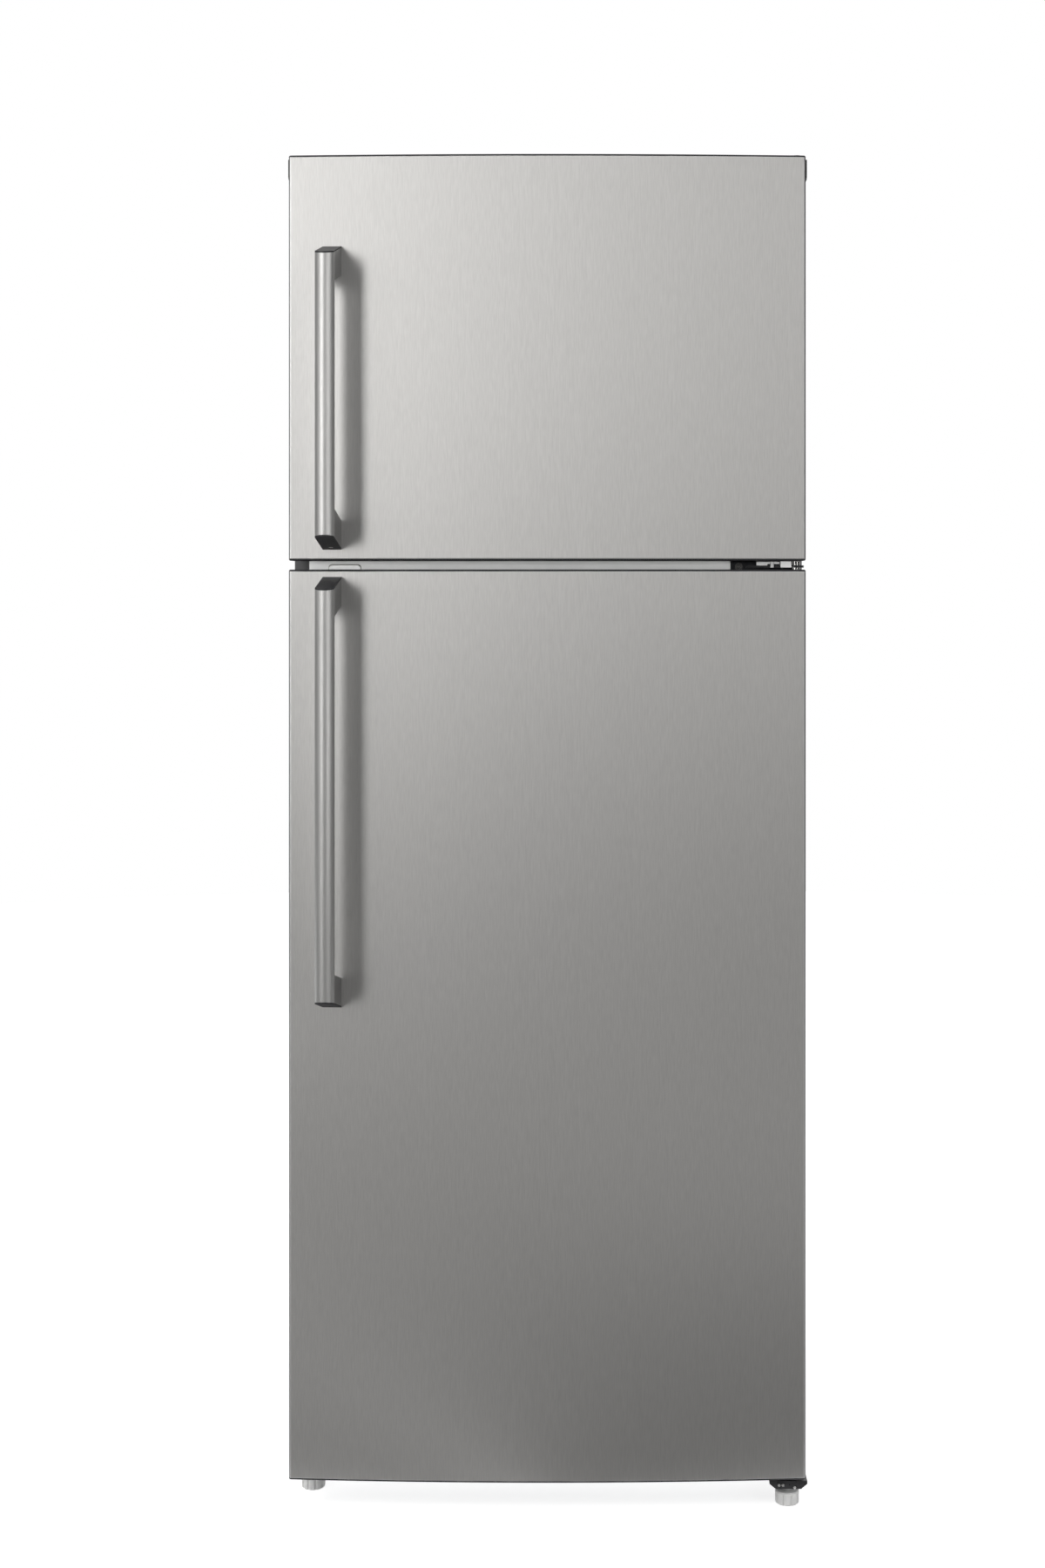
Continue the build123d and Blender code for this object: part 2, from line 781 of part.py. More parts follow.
# Back panel: sheet with wide embossed ribs
with BuildPart() as back_panel:
    with BuildSketch(at_y(foam_back)) as panel:
        with Locations((0, bay_top)):
            Rectangle(
                door_width - 2 * steel_sheet,
                case_top - steel_sheet - bay_top,
                align=(Align.CENTER, Align.MIN),
            )
        fillet(panel.vertices().group_by(Axis.Y)[-1], radius=case_corner - steel_sheet)
    extrude(amount=-steel_sheet)
    rib_height = case_top - bay_top - 4 * back_rib_width
    rib_pitch = (door_width - 2 * back_rib_width) / back_rib_count
    with BuildSketch(at_y(foam_back + steel_sheet)):
        with Locations((0, (case_top + bay_top) / 2)):
            with GridLocations(rib_pitch, 1, back_rib_count, 1):
                SlotOverall(rib_height, back_rib_width, rotation=90)
    extrude(amount=-back_rib_rise)
save(back_panel, "back_panel")

# Plate on the bar between the compartments, and the plug over its spare hinge holes
plug_x = plug_inset + plug_width / 2 - half_door
plug_z = mullion_z - plug_drop
with BuildPart() as mullion_plate:
    flange_x = half_door - case_flange
    block(-flange_x, flange_x, case_front, foam_front, mullion_z - mullion_half, mullion_z + mullion_half)
    with BuildSketch(at_y(case_front)):
        with Locations((plug_x, plug_z)):
            RectangleRounded(plug_width + 2 * plug_gap, plug_height + 2 * plug_gap, plug_corner + plug_gap)
    extrude(amount=-steel_sheet, mode=Mode.SUBTRACT)
save(mullion_plate, "mullion_plate")

with BuildPart() as mullion_plug:
    with BuildSketch(at_y(foam_front)):
        with Locations((plug_x, plug_z)):
            RectangleRounded(plug_width, plug_height, plug_corner)
    extrude(amount=steel_sheet + plug_proud)
    fillet(mullion_plug.faces().sort_by(Axis.Y)[0].edges(), radius=plug_proud)
save(mullion_plug, "mullion_plug")

# Top hinge: plate on the roof, reaching forward over the upper door
top_plate = case_top + hinge_plate
roof_plate_x = hinge_x + (hinge_tip - top_hinge_width) / 2
roof_plate_y = case_front + top_hinge_depth / 2 + case_corner
top_screws = [
    (roof_plate_x + sx * top_hinge_width / 3.2, roof_plate_y + sy * top_hinge_depth / 4)
    for sx, sy in ((-1, -1), (-1, 1), (1, 1))
]
with BuildPart() as top_hinge_bracket:
    with BuildSketch(Plane.XY.offset(case_top)):
        with Locations((roof_plate_x, roof_plate_y)):
            RectangleRounded(top_hinge_width, top_hinge_depth, hinge_tip / 2)
        with BuildSketch(Plane.XY.offset(case_top)) as arm:
            with Locations((hinge_x, hinge_y)):
                Circle(hinge_tip)
            with Locations((hinge_x, roof_plate_y)):
                Circle(hinge_tip / 2)
            make_hull()
    extrude(amount=hinge_plate)
    with Locations((hinge_x, hinge_y, case_top)):
        Cylinder(pin_radius, 4 * hinge_plate, mode=Mode.SUBTRACT)
    with Locations(*[(x, y, case_top) for x, y in top_screws]):
        Cylinder(screw_radius + screw_fit, 4 * hinge_plate, mode=Mode.SUBTRACT)
save(top_hinge_bracket, "top_hinge_bracket")

# Cover over the top hinge's screws, open below and slotted for the arm
cover_margin = 2 * hinge_cover_wall
with BuildPart() as top_hinge_cover:
    cover_x0 = roof_plate_x - top_hinge_width / 2 - cover_margin
    cover_x1 = half_door
    cover_y0 = case_front + hinge_run
    cover_y1 = roof_plate_y + top_hinge_depth / 2 + cover_margin
    with BuildSketch(Plane.XY.offset(case_top)):
        with Locations(((cover_x0 + cover_x1) / 2, (cover_y0 + cover_y1) / 2)):
            RectangleRounded(cover_x1 - cover_x0, cover_y1 - cover_y0, hinge_cover_round)
    extrude(amount=hinge_cover_height)
    fillet(top_hinge_cover.faces().sort_by(Axis.Z)[-1].edges(), radius=hinge_cover_round - 1)
    offset(amount=-hinge_cover_wall, openings=top_hinge_cover.faces().sort_by(Axis.Z)[0])
    arm_half = hinge_tip + run_gap
    block(
        hinge_x - arm_half,
        half_door,
        case_front - 1,
        cover_y0 + 2 * hinge_cover_wall,
        case_top,
        top_plate + run_gap,
        Mode.SUBTRACT,
    )
save(top_hinge_cover, "top_hinge_cover")

# Middle hinge: plate on the mullion and an arm between the two doors
arm_top = mullion_z
arm_bottom = mullion_z - hinge_plate
middle_x1 = half_door - hinge_tip / 2
middle_x0 = middle_x1 - middle_hinge_width
middle_face = case_front - hinge_plate
arm_x0 = middle_x0 + 4 * screw_head_radius
middle_screw_x = middle_x0 + middle_screw_inset
middle_screws = [mullion_z + rise for rise in middle_screw_offsets]
with BuildPart() as middle_hinge_bracket:
    block(
        middle_x0,
        middle_x1,
        middle_face,
        case_front,
        mullion_z - middle_hinge_height / 2,
        mullion_z + middle_hinge_height / 2,
    )
    with BuildSketch(Plane.XY.offset(arm_bottom)):
        with Locations((hinge_x, hinge_y)):
            Circle(hinge_tip)
        with Locations(((arm_x0 + middle_x1) / 2, middle_face)):
            Rectangle(middle_x1 - arm_x0, hinge_plate, align=(Align.CENTER, Align.MAX))
        make_hull()
    extrude(amount=hinge_plate)
    with Locations((hinge_x, hinge_y, arm_bottom)):
        Cylinder(pin_radius, 4 * hinge_plate, mode=Mode.SUBTRACT)
    with Locations(*[(middle_screw_x, case_front, z) for z in middle_screws]):
        Cylinder(screw_radius + screw_fit, 4 * hinge_plate, rotation=(90, 0, 0), mode=Mode.SUBTRACT)
save(middle_hinge_bracket, "middle_hinge_bracket")

# White stop on the middle hinge's arm: a block and a ribbed hook joined by a strip with a round post
stop_left = hinge_x - stop_reach
stop_right = hinge_x - collar_radius - stop_clearance
stop_back = hinge_y + bush_radius + stop_depth
hook_front = hinge_y - hinge_tip - stop_hook
with BuildPart() as door_stop:
    stop_top = arm_top + stop_height
    strip_low = stop_top - stop_strip
    post_x = stop_left + stop_post_place
    post_y = hinge_y + stop_post_setback
    block(stop_left, stop_left + stop_block, stop_back - stop_depth, stop_back, arm_top, stop_top)
    block(stop_left, stop_right, stop_back - stop_depth, stop_back, strip_low, stop_top)
    block(stop_right - stop_block, stop_right, hook_front, stop_back, arm_top, stop_top)
    block(stop_right - stop_block, stop_right, hook_front, hinge_y - hinge_tip, arm_bottom, arm_top)
    block(post_x - stop_post, post_x + stop_post, post_y, stop_back, strip_low, stop_top)
    with Locations((post_x, post_y, arm_bottom)):
        Cylinder(stop_post, stop_top - arm_bottom, align=(Align.CENTER, Align.CENTER, Align.MIN))
    ribs = [stop_right - stop_block * (place + 0.5) / stop_ribs for place in range(stop_ribs)]
    with Locations(*[(x, hook_front, (arm_bottom + stop_top) / 2) for x in ribs]):
        Box(stop_rib, stop_rib, stop_top - arm_bottom, mode=Mode.SUBTRACT)
save(door_stop, "door_stop")

# Bottom hinge: bracket stepped down from the base, with a lip turned down at its front
bottom_top = lower_z0 - bottom_hinge_drop
bottom_x1 = half_door + skirt_proud
bottom_x0 = bottom_x1 - bottom_hinge_width
lip_y = edge_y + bottom_hinge_front
web_y = case_front - hinge_plate - web_gap
lip_low = bottom_top - bottom_hinge_lip
bracket_screws = [
    (bottom_x0 + bottom_hinge_width / 3, case_front + bottom_hinge_depth * share) for share in (0.35, 0.8)
]
lip_rivets = [(bottom_x0 + place, lip_low + rivet_rise) for place in rivet_places]
lip_rivets.append((hinge_x - low_rivet_inset, lip_low + low_rivet_rise))
with BuildPart() as bottom_hinge_bracket:
    with BuildSketch(Plane.YZ.offset(bottom_x0)):
        with BuildLine():
            Polyline(
                (case_front + bottom_hinge_depth, base_height),
                (web_y - hinge_plate, base_height),
                (web_y - hinge_plate, bottom_top),
                (lip_y, bottom_top),
                (lip_y, lip_low),
                (lip_y + hinge_plate, lip_low),
                (lip_y + hinge_plate, bottom_top - hinge_plate),
                (web_y, bottom_top - hinge_plate),
                (web_y, base_height - hinge_plate),
                (case_front + bottom_hinge_depth, base_height - hinge_plate),
                close=True,
            )
        make_face()
    extrude(amount=bottom_hinge_width)
    block(half_door, bottom_x1, web_y - hinge_plate, case_back, lip_low, base_height, Mode.SUBTRACT)
    with BuildSketch(at_y(lip_y)):
        for end, inward in ((bottom_x0, 1), (bottom_x1, -1)):
            with BuildLine():
                Polyline(
                    (end, lip_low),
                    (end + inward * lip_slant, lip_low),
                    (end, lip_low + lip_slant_height),
                    close=True,
                )
            make_face()
    extrude(amount=-hinge_plate, mode=Mode.SUBTRACT)
    with Locations((hinge_x, hinge_y, bottom_top)):
        Cylinder(pin_radius, 4 * hinge_plate, mode=Mode.SUBTRACT)
    with Locations((right_foot[0], right_foot[1], bottom_top)):
        Cylinder(stud_radius + run_gap, 4 * hinge_plate, mode=Mode.SUBTRACT)
    with Locations(*[(x, y, base_height) for x, y in bracket_screws]):
        Cylinder(screw_radius + screw_fit, 4 * hinge_plate, mode=Mode.SUBTRACT)
save(bottom_hinge_bracket, "bottom_hinge_bracket")

# Hinge pins, each with the collars that its door turns on
with BuildPart() as hinge_pins:
    upright = (Align.CENTER, Align.CENTER, Align.MIN)
    for low, high, radius in (
        (upper_z1 - pin_length, top_plate, pin_radius),
        (lower_z1 - pin_length, upper_z0 + pin_length, pin_radius),
        (arm_top, upper_z0 - hinge_run, collar_radius),
        (lower_z1 + hinge_run, arm_bottom, collar_radius),
        (bottom_top - hinge_plate, lower_z0 + pin_length, pin_radius),
        (bottom_top, lower_z0 - hinge_run, collar_radius),
    ):
        with Locations((hinge_x, hinge_y, low)):
            Cylinder(radius, high - low, align=upright)
save(hinge_pins, "hinge_pins")


def hinge_screw():
    """A flanged screw with a cross recess, head along +Z and shank through a hinge plate below."""
    up = (Align.CENTER, Align.CENTER, Align.MIN)
    head = screw_flange + screw_pan_height
    with BuildPart() as screw:
        Cylinder(screw_head_radius, screw_flange, align=up)
        Cylinder(screw_pan_radius, head, align=up)
        chamfer(screw.faces().sort_by(Axis.Z)[-1].edges(), length=screw_pan_height / 3)
        with Locations((0, 0, head - recess_depth)):
            Box(recess_length, recess_width, 2 * recess_depth, align=up, mode=Mode.SUBTRACT)
            Box(recess_width, recess_length, 2 * recess_depth, align=up, mode=Mode.SUBTRACT)
        Cylinder(screw_radius, hinge_plate, align=(Align.CENTER, Align.CENTER, Align.MAX))
    return screw.part


# Screws of the three hinges, and the rivets on the front of the bottom one
with BuildPart() as hinge_screws:
    facing = Plane.XZ.offset(-middle_face).location
    places = [Location((x, y, top_plate)) for x, y in top_screws]
    places += [facing * Location((middle_screw_x, z, 0)) for z in middle_screws]
    places += [Location((x, y, base_height - hinge_plate), (180, 0, 0)) for x, y in bracket_screws]
    with Locations(*places):
        add(hinge_screw())
    lip_face = Plane.XZ.offset(-lip_y).location
    with Locations(*[lip_face * Location((x, z, 0)) for x, z in lip_rivets]):
        Cylinder(rivet_radius, rivet_height, align=(Align.CENTER, Align.CENTER, Align.MIN))
save(hinge_screws, "hinge_screws")

# Glass shelves on the liners' rails
glass_half = cavity_half - glass_fit
trim_half = cavity_half - ledge_reach - run_gap
freezer_shelf_back = duct_cover_y - run_gap
crisper_back = step_y - run_gap
shelves = [(freezer_shelf_height, freezer_shelf_back), (crisper_cover_height, crisper_back)]
shelves += [(height, shelf_back) for height in fridge_shelf_heights]
with BuildPart() as shelf_glass:
    for height, back in shelves:
        block(-glass_half, glass_half, shelf_y0, back, height, height + glass_thick)
save(shelf_glass, "shelf_glass")

# Moulded trims that clip over the front edge of each shelf
with BuildPart() as shelf_trims:
    for height, _ in shelves:
        with BuildSketch(Plane.YZ) as clip:
            with BuildLine():
                front = shelf_y0 - (trim_depth - trim_lap)
                back = shelf_y0 + trim_lap
                low = height - (trim_height - glass_thick) / 2
                high = low + trim_height
                Polyline(
                    (front, low),
                    (back, low),
                    (back, height),
                    (shelf_y0, height),
                    (shelf_y0, height + glass_thick),
                    (back, height + glass_thick),
                    (back, high),
                    (front, high),
                    close=True,
                )
            make_face()
            fillet(clip.vertices().group_by(Axis.X)[0], radius=trim_height / 3)
        extrude(amount=trim_half, both=True)
save(shelf_trims, "shelf_trims")

# Crisper drawer: an open tub with a hand grip across its front
crisper_half = cavity_half - crisper_side_gap
crisper_y0 = shelf_y0
crisper_y1 = step_y - crisper_corner / 2
crisper_z0 = fridge_z0 + run_gap
crisper_z1 = crisper_cover_height - crisper_head_room
with BuildPart() as crisper_drawer:
    with BuildSketch(Plane.XY.offset(crisper_z0)):
        with Locations((0, (crisper_y0 + crisper_y1) / 2)):
            RectangleRounded(2 * crisper_half, crisper_y1 - crisper_y0, crisper_corner)
    extrude(amount=crisper_z1 - crisper_z0)
    with BuildSketch(Plane.XY.offset(crisper_z0 + crisper_wall)):
        with Locations((0, (crisper_y0 + crisper_y1) / 2)):
            RectangleRounded(
                2 * (crisper_half - crisper_wall),
                crisper_y1 - crisper_y0 - 2 * crisper_wall,
                crisper_corner - crisper_wall,
            )
    extrude(amount=crisper_z1 - crisper_z0, mode=Mode.SUBTRACT)
    with BuildSketch(Plane.YZ) as grip:
        with BuildLine():
            Polyline(
                (crisper_y0, crisper_z1),
                (crisper_y0 - crisper_grip, crisper_z1),
                (crisper_y0 - crisper_grip, crisper_z1 - crisper_grip_drop),
                (crisper_y0 - crisper_grip + crisper_wall, crisper_z1 - crisper_grip_drop),
                (crisper_y0 - crisper_grip + crisper_wall, crisper_z1 - crisper_wall),
                (crisper_y0, crisper_z1 - crisper_wall),
                close=True,
            )
        make_face()
    extrude(amount=crisper_half - crisper_corner, both=True)
save(crisper_drawer, "crisper_drawer")

# Freezer back wall: duct cover with the fan's grille and the air return slots
with BuildPart() as freezer_duct_cover:
    cover_half = cavity_half - run_gap
    with BuildSketch(at_y(duct_cover_y)):
        with Locations((0, (freezer_z0 + freezer_z1) / 2)):
            RectangleRounded(2 * cover_half, freezer_z1 - freezer_z0 - 2 * run_gap, liner_round)
        with Locations((0, fan_height)):
            slot_mid = (grille_inner + grille_outer) / 2
            with PolarLocations(slot_mid, grille_slot_count):
                SlotOverall(grille_outer - grille_inner, grille_slot_width, mode=Mode.SUBTRACT)
        with Locations((0, freezer_z0 + return_slot_height)):
            with GridLocations(return_slot_pitch, 1, return_slot_count, 1):
                SlotOverall(return_slot_height, return_slot_width, rotation=90, mode=Mode.SUBTRACT)
    extrude(amount=-duct_cover_sheet)
save(freezer_duct_cover, "freezer_duct_cover")

# Evaporator: finned block on the back wall of the freezer
with BuildPart() as evaporator:
    evap_y0 = freezer_back - evaporator_depth
    fin_pitch = evaporator_width / (fin_count - 1)
    with Locations((0, evap_y0 + evaporator_depth / 2, evaporator_z0 + evaporator_height / 2)):
        with GridLocations(fin_pitch, 1, fin_count, 1):
            Box(fin_sheet, evaporator_depth, evaporator_height)
    with Locations((0, evap_y0 + evaporator_depth / 2, evaporator_z0 + evaporator_height / 2)):
        for row in (-1.5, -0.5, 0.5, 1.5):
            with Locations((0, 0, row * evaporator_height / 4)):
                Cylinder(tube_radius, evaporator_width + 4 * tube_radius, rotation=(0, 90, 0))
save(evaporator, "evaporator")

# Evaporator fan on its motor's shaft
motor_front = freezer_back - fan_motor_depth
hub_back = motor_front - 2 * run_gap
fan_plane = Plane(origin=(0, hub_back, fan_height), x_dir=(1, 0, 0), z_dir=(0, -1, 0))
with BuildPart(Plane(origin=(0, freezer_back, fan_height), x_dir=(1, 0, 0), z_dir=(0, -1, 0))) as fan_motor:
    low_end = (Align.CENTER, Align.CENTER, Align.MIN)
    Cylinder(fan_motor_radius, fan_motor_depth, align=low_end)
    fillet(fan_motor.faces().sort_by(Axis.Y)[0].edges(), radius=fan_motor_radius / 6)
    Cylinder(fan_shaft_radius, fan_motor_depth + fan_hub_depth, align=low_end)
save(fan_motor, "fan_motor")


def fan_blade():
    """One twisted blade, pointing along +X from the middle of the fan."""
    with BuildPart() as blade:
        with BuildSketch(Plane.YZ.offset(0.8 * fan_hub_radius)):
            Rectangle(fan_blade_chord / 2, fan_blade_sheet, rotation=fan_pitch_root)
        with BuildSketch(Plane.YZ.offset(fan_radius)):
            Rectangle(fan_blade_chord, fan_blade_sheet, rotation=fan_pitch_tip)
        loft(ruled=True)
    return blade.part


with BuildPart(fan_plane) as evaporator_fan:
    Cylinder(fan_hub_radius, fan_hub_depth, align=(Align.CENTER, Align.CENTER, Align.MIN))
    with PolarLocations(0, fan_blades):
        with Locations((0, 0, fan_hub_depth / 2)):
            add(fan_blade())
    Cylinder(
        fan_shaft_radius + bush_fit,
        fan_hub_depth,
        align=(Align.CENTER, Align.CENTER, Align.MIN),
        mode=Mode.SUBTRACT,
    )
save(evaporator_fan, "evaporator_fan")

# Air duct up the back wall of the fridge, with a pair of vents over each shelf
with BuildPart() as fridge_air_duct:
    duct_low = step_z + air_duct_lift
    duct_high = fridge_z1
    with BuildSketch(at_y(fridge_back)):
        with Locations((0, (duct_low + duct_high) / 2)):
            RectangleRounded(air_duct_width, duct_high - duct_low, air_duct_round)
    extrude(amount=air_duct_depth)
    fillet(fridge_air_duct.faces().sort_by(Axis.Y)[0].edges(), radius=air_duct_round / 2)
    with BuildSketch(at_y(fridge_back)):
        with Locations((0, (duct_low + duct_high) / 2)):
            Rectangle(air_duct_width - 4 * air_duct_wall, duct_high - duct_low - 4 * air_duct_wall)
    extrude(amount=air_duct_depth - air_duct_wall, mode=Mode.SUBTRACT)
    with BuildSketch(at_y(fridge_back - air_duct_depth)):
        for height in fridge_shelf_heights:
            with Locations((0, height + vent_lift), (0, height + vent_lift + 2 * vent_height)):
                with GridLocations(1.5 * vent_width, 1, 2, 1):
                    SlotOverall(vent_width, vent_height)
    extrude(amount=-2 * air_duct_wall, mode=Mode.SUBTRACT)
save(fridge_air_duct, "fridge_air_duct")

# Control box under the fridge's ceiling, hollow above, with knob and lamp
control_y0 = case_front + control_setback
control_z0 = fridge_z1 - control_height
with BuildPart() as control_box:
    with BuildSketch(Plane.XY.offset(control_z0)):
        with Locations((0, control_y0 + control_depth / 2)):
            RectangleRounded(control_width, control_depth, control_round)
    extrude(amount=control_height)
    fillet(control_box.faces().sort_by(Axis.Z)[0].edges(), radius=control_round / 2)
    offset(amount=-control_wall, openings=control_box.faces().sort_by(Axis.Z)[-1])
    knob_z = fridge_z1 - control_height / 2
    with Locations(Plane.XZ.offset(-control_y0).location * Location((switch_x, knob_z, 0))):
        Cylinder(switch_radius + run_gap, 4 * control_wall, mode=Mode.SUBTRACT)
    with Locations(Plane.XZ.offset(-control_y0).location * Location((knob_x, knob_z, 0))):
        Cylinder(fan_shaft_radius, 2 * (knob_depth - knob_grip))
save(control_box, "control_box")

with BuildPart(at_y(control_y0 - run_gap)) as control_knob:
    with Locations((knob_x, knob_z)):
        Cylinder(knob_radius, knob_depth - knob_grip, align=(Align.CENTER, Align.CENTER, Align.MIN))
        with Locations((0, 0, knob_depth - knob_grip)):
            Box(knob_grip, 1.8 * knob_radius, knob_grip, align=(Align.CENTER, Align.CENTER, Align.MIN))
        Cylinder(
            fan_shaft_radius + bush_fit,
            2 * (knob_depth - knob_grip),
            mode=Mode.SUBTRACT,
        )
save(control_knob, "control_knob")

with BuildPart() as lamp_lens:
    with BuildSketch(Plane.XY.offset(control_z0)):
        with Locations((0, control_y0 + control_depth / 2)):
            RectangleRounded(lamp_width, lamp_depth, control_round)
    extrude(amount=-lamp_height)
    fillet(lamp_lens.faces().sort_by(Axis.Z)[0].edges(), radius=lamp_height / 2)
save(lamp_lens, "lamp_lens")

# Lamp switch: a round button that the closed lower door holds in
with BuildPart(at_y(door_back + run_gap)) as lamp_switch:
    with Locations((switch_x, knob_z)):
        reach = control_y0 + control_wall + switch_body - door_back
        Cylinder(switch_radius, reach, align=(Align.CENTER, Align.CENTER, Align.MAX))
        with Locations((0, 0, -reach)):
            Cylinder(1.5 * switch_radius, control_wall, align=(Align.CENTER, Align.CENTER, Align.MIN))
    fillet(lamp_switch.faces().sort_by(Axis.Y)[0].edges(), radius=switch_radius / 2)
save(lamp_switch, "lamp_switch")

# Compressor: domed pot on a foot plate with four rubber mounts
compressor_y = bay_front + bay_depth / 2
pot_z0 = base_top + grommet_height + compressor_foot_sheet
with BuildPart() as compressor:
    with Locations((compressor_x, compressor_y, pot_z0)):
        Cylinder(compressor_radius, compressor_height, align=(Align.CENTER, Align.CENTER, Align.MIN))
    fillet(compressor.faces().sort_by(Axis.Z)[-1].edges(), radius=compressor_dome)
    foot_z = pot_z0 - compressor_foot_sheet
    with BuildSketch(Plane.XY.offset(foot_z)):
        with Locations((compressor_x, compressor_y)):
            RectangleRounded(compressor_foot, compressor_foot, grommet_radius)
    extrude(amount=compressor_foot_sheet)
    with Locations((compressor_x, compressor_y, base_top)):
        with GridLocations(grommet_span, grommet_span, 2, 2):
            Cylinder(grommet_radius, grommet_height, align=(Align.CENTER, Align.CENTER, Align.MIN))
save(compressor, "compressor")

# Drip tray beside the compressor
with BuildPart() as drip_tray:
    with BuildSketch(Plane.XY.offset(base_top)):
        with Locations((tray_x, compressor_y)):
            RectangleRounded(tray_width, tray_depth, grommet_radius)
    extrude(amount=tray_height)
    offset(amount=-tray_wall, openings=drip_tray.faces().sort_by(Axis.Z)[-1])
save(drip_tray, "drip_tray")

# Slotted cover of the machine compartment, with the gland of the mains lead
gland_x = gland_inset - bay_half
with BuildPart() as machine_cover:
    cover_half = half_door - steel_sheet - run_gap
    cover_y = case_back - cover_sheet
    cover_z = (base_height + bay_top) / 2
    with BuildSketch(at_y(cover_y)):
        with Locations((0, cover_z)):
            Rectangle(2 * cover_half, bay_height - run_gap)
            with GridLocations(cover_slot_pitch, cover_row_pitch, cover_slot_columns, cover_slot_rows):
                SlotOverall(cover_slot_height, cover_slot_width, rotation=90, mode=Mode.SUBTRACT)
        with Locations((gland_x, base_height + gland_height)):
            Circle(gland_radius - gland_step, mode=Mode.SUBTRACT)
    extrude(amount=-cover_sheet)
save(machine_cover, "machine_cover")

with BuildPart(at_y(case_back)) as cord_gland:
    with Locations((gland_x, base_height + gland_height)):
        top_end = (Align.CENTER, Align.CENTER, Align.MIN)
        Cylinder(gland_radius - gland_step, cover_sheet, align=top_end)
        with Locations((0, 0, cover_sheet)):
            Cylinder(gland_radius, gland_depth, align=top_end)
        Cylinder(gland_bore, 4 * gland_depth, mode=Mode.SUBTRACT)
save(cord_gland, "cord_gland")
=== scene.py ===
# %% [markdown]
# # A top-freezer refrigerator, dressed in Blender
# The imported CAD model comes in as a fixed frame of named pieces. Nothing in it is moved or reshaped
# here: this lesson builds a small photo studio round the fridge and gives every piece its finish.

# %% Load the frame
import math

import bpy
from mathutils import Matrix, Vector


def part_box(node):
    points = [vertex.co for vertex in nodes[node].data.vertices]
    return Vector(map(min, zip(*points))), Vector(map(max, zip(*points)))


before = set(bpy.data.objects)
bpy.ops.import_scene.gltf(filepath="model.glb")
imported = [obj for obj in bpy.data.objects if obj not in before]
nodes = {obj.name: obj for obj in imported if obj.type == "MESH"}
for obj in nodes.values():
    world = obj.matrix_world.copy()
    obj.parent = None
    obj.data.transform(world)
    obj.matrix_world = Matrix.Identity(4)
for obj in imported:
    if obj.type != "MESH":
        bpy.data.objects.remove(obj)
scene = bpy.context.scene
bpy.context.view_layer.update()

# %% [markdown]
# ## Camera
# The photograph is a straight front view in which the fridge's upright edges stay upright. Tilting
# the camera would make them lean, so it looks level, and the picture is shifted instead. The doors
# fill 594 of the 1200 px, which sets the lens. The eye stands a little right of the fridge's
# middle, and the horizon lies above mid-height.

# %% Camera at the photograph's place
FRAME_WIDTH, FRAME_HEIGHT = 1200, 1800
DOOR_PIXELS = 594.0
DOOR_MIDDLE_PIXEL = 628.4
CAMERA_DISTANCE = 3.0
EYE_RIGHT = 0.07
EYE_HEIGHT = 1.2427
EYE_PIXEL_DOWN = 680.0
SENSOR = 36.0
DOOR_BOW = 0.0115

skin_low, skin_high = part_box("lower_door_skin")
door_edge_y = skin_low.y + DOOR_BOW
pixels_per_metre = DOOR_PIXELS / (skin_high.x - skin_low.x)
eye_pixel_across = DOOR_MIDDLE_PIXEL + EYE_RIGHT * pixels_per_metre

camera_data = bpy.data.cameras.new("camera")
camera_data.sensor_width = SENSOR
camera_data.lens = pixels_per_metre * CAMERA_DISTANCE * SENSOR / FRAME_HEIGHT
camera_data.shift_x = (FRAME_WIDTH / 2 - eye_pixel_across) / FRAME_HEIGHT
camera_data.shift_y = (EYE_PIXEL_DOWN - FRAME_HEIGHT / 2) / FRAME_HEIGHT
camera = bpy.data.objects.new("camera", camera_data)
camera.location = (EYE_RIGHT, door_edge_y - CAMERA_DISTANCE, EYE_HEIGHT)
camera.rotation_euler = (math.radians(90), 0.0, 0.0)
scene.collection.objects.link(camera)
scene.camera = camera
shifts = [round(camera_data.shift_x, 4), round(camera_data.shift_y, 4)]
print("lens", round(camera_data.lens, 2), "shift", shifts)

# %% [markdown]
# ## White room
# The fridge stands cut out on pure white. A brighter world would give that white too, but it would
# also flood the fridge with light. So the world is white only for rays that show it: from the
# camera, off shiny pieces and through glass. All other rays find a softer room light.

# %% World and colour management
scene.view_settings.view_transform = "Standard"
WHITE = (1.0, 1.0, 1.0, 1.0)
SEEN_STRENGTH = 1.0
ROOM_STRENGTH = 0.5


def seen_rays(tree):
    """1 for rays from the camera, off shiny pieces and through glass, else 0."""
    path = tree.nodes.new("ShaderNodeLightPath")
    seen = path.outputs["Is Camera Ray"]
    for kind in ("Is Glossy Ray", "Is Transmission Ray"):
        either = tree.nodes.new("ShaderNodeMath")
        either.operation = "MAXIMUM"
        tree.links.new(seen, either.inputs[0])
        tree.links.new(path.outputs[kind], either.inputs[1])
        seen = either.outputs[0]
    return seen


world = bpy.data.worlds.new("studio")
scene.world = world
world.use_nodes = True
sky = world.node_tree
sky.nodes.clear()
pick = sky.nodes.new("ShaderNodeMixShader")
sky.links.new(seen_rays(sky), pick.inputs["Fac"])
for slot, strength in ((1, ROOM_STRENGTH), (2, SEEN_STRENGTH)):
    light = sky.nodes.new("ShaderNodeBackground")
    light.inputs["Color"].default_value = WHITE
    light.inputs["Strength"].default_value = strength
    sky.links.new(light.outputs[0], pick.inputs[slot])
sky_out = sky.nodes.new("ShaderNodeOutputWorld")
sky.links.new(pick.outputs[0], sky_out.inputs["Surface"])
print("room light", ROOM_STRENGTH, "seen as", SEEN_STRENGTH)


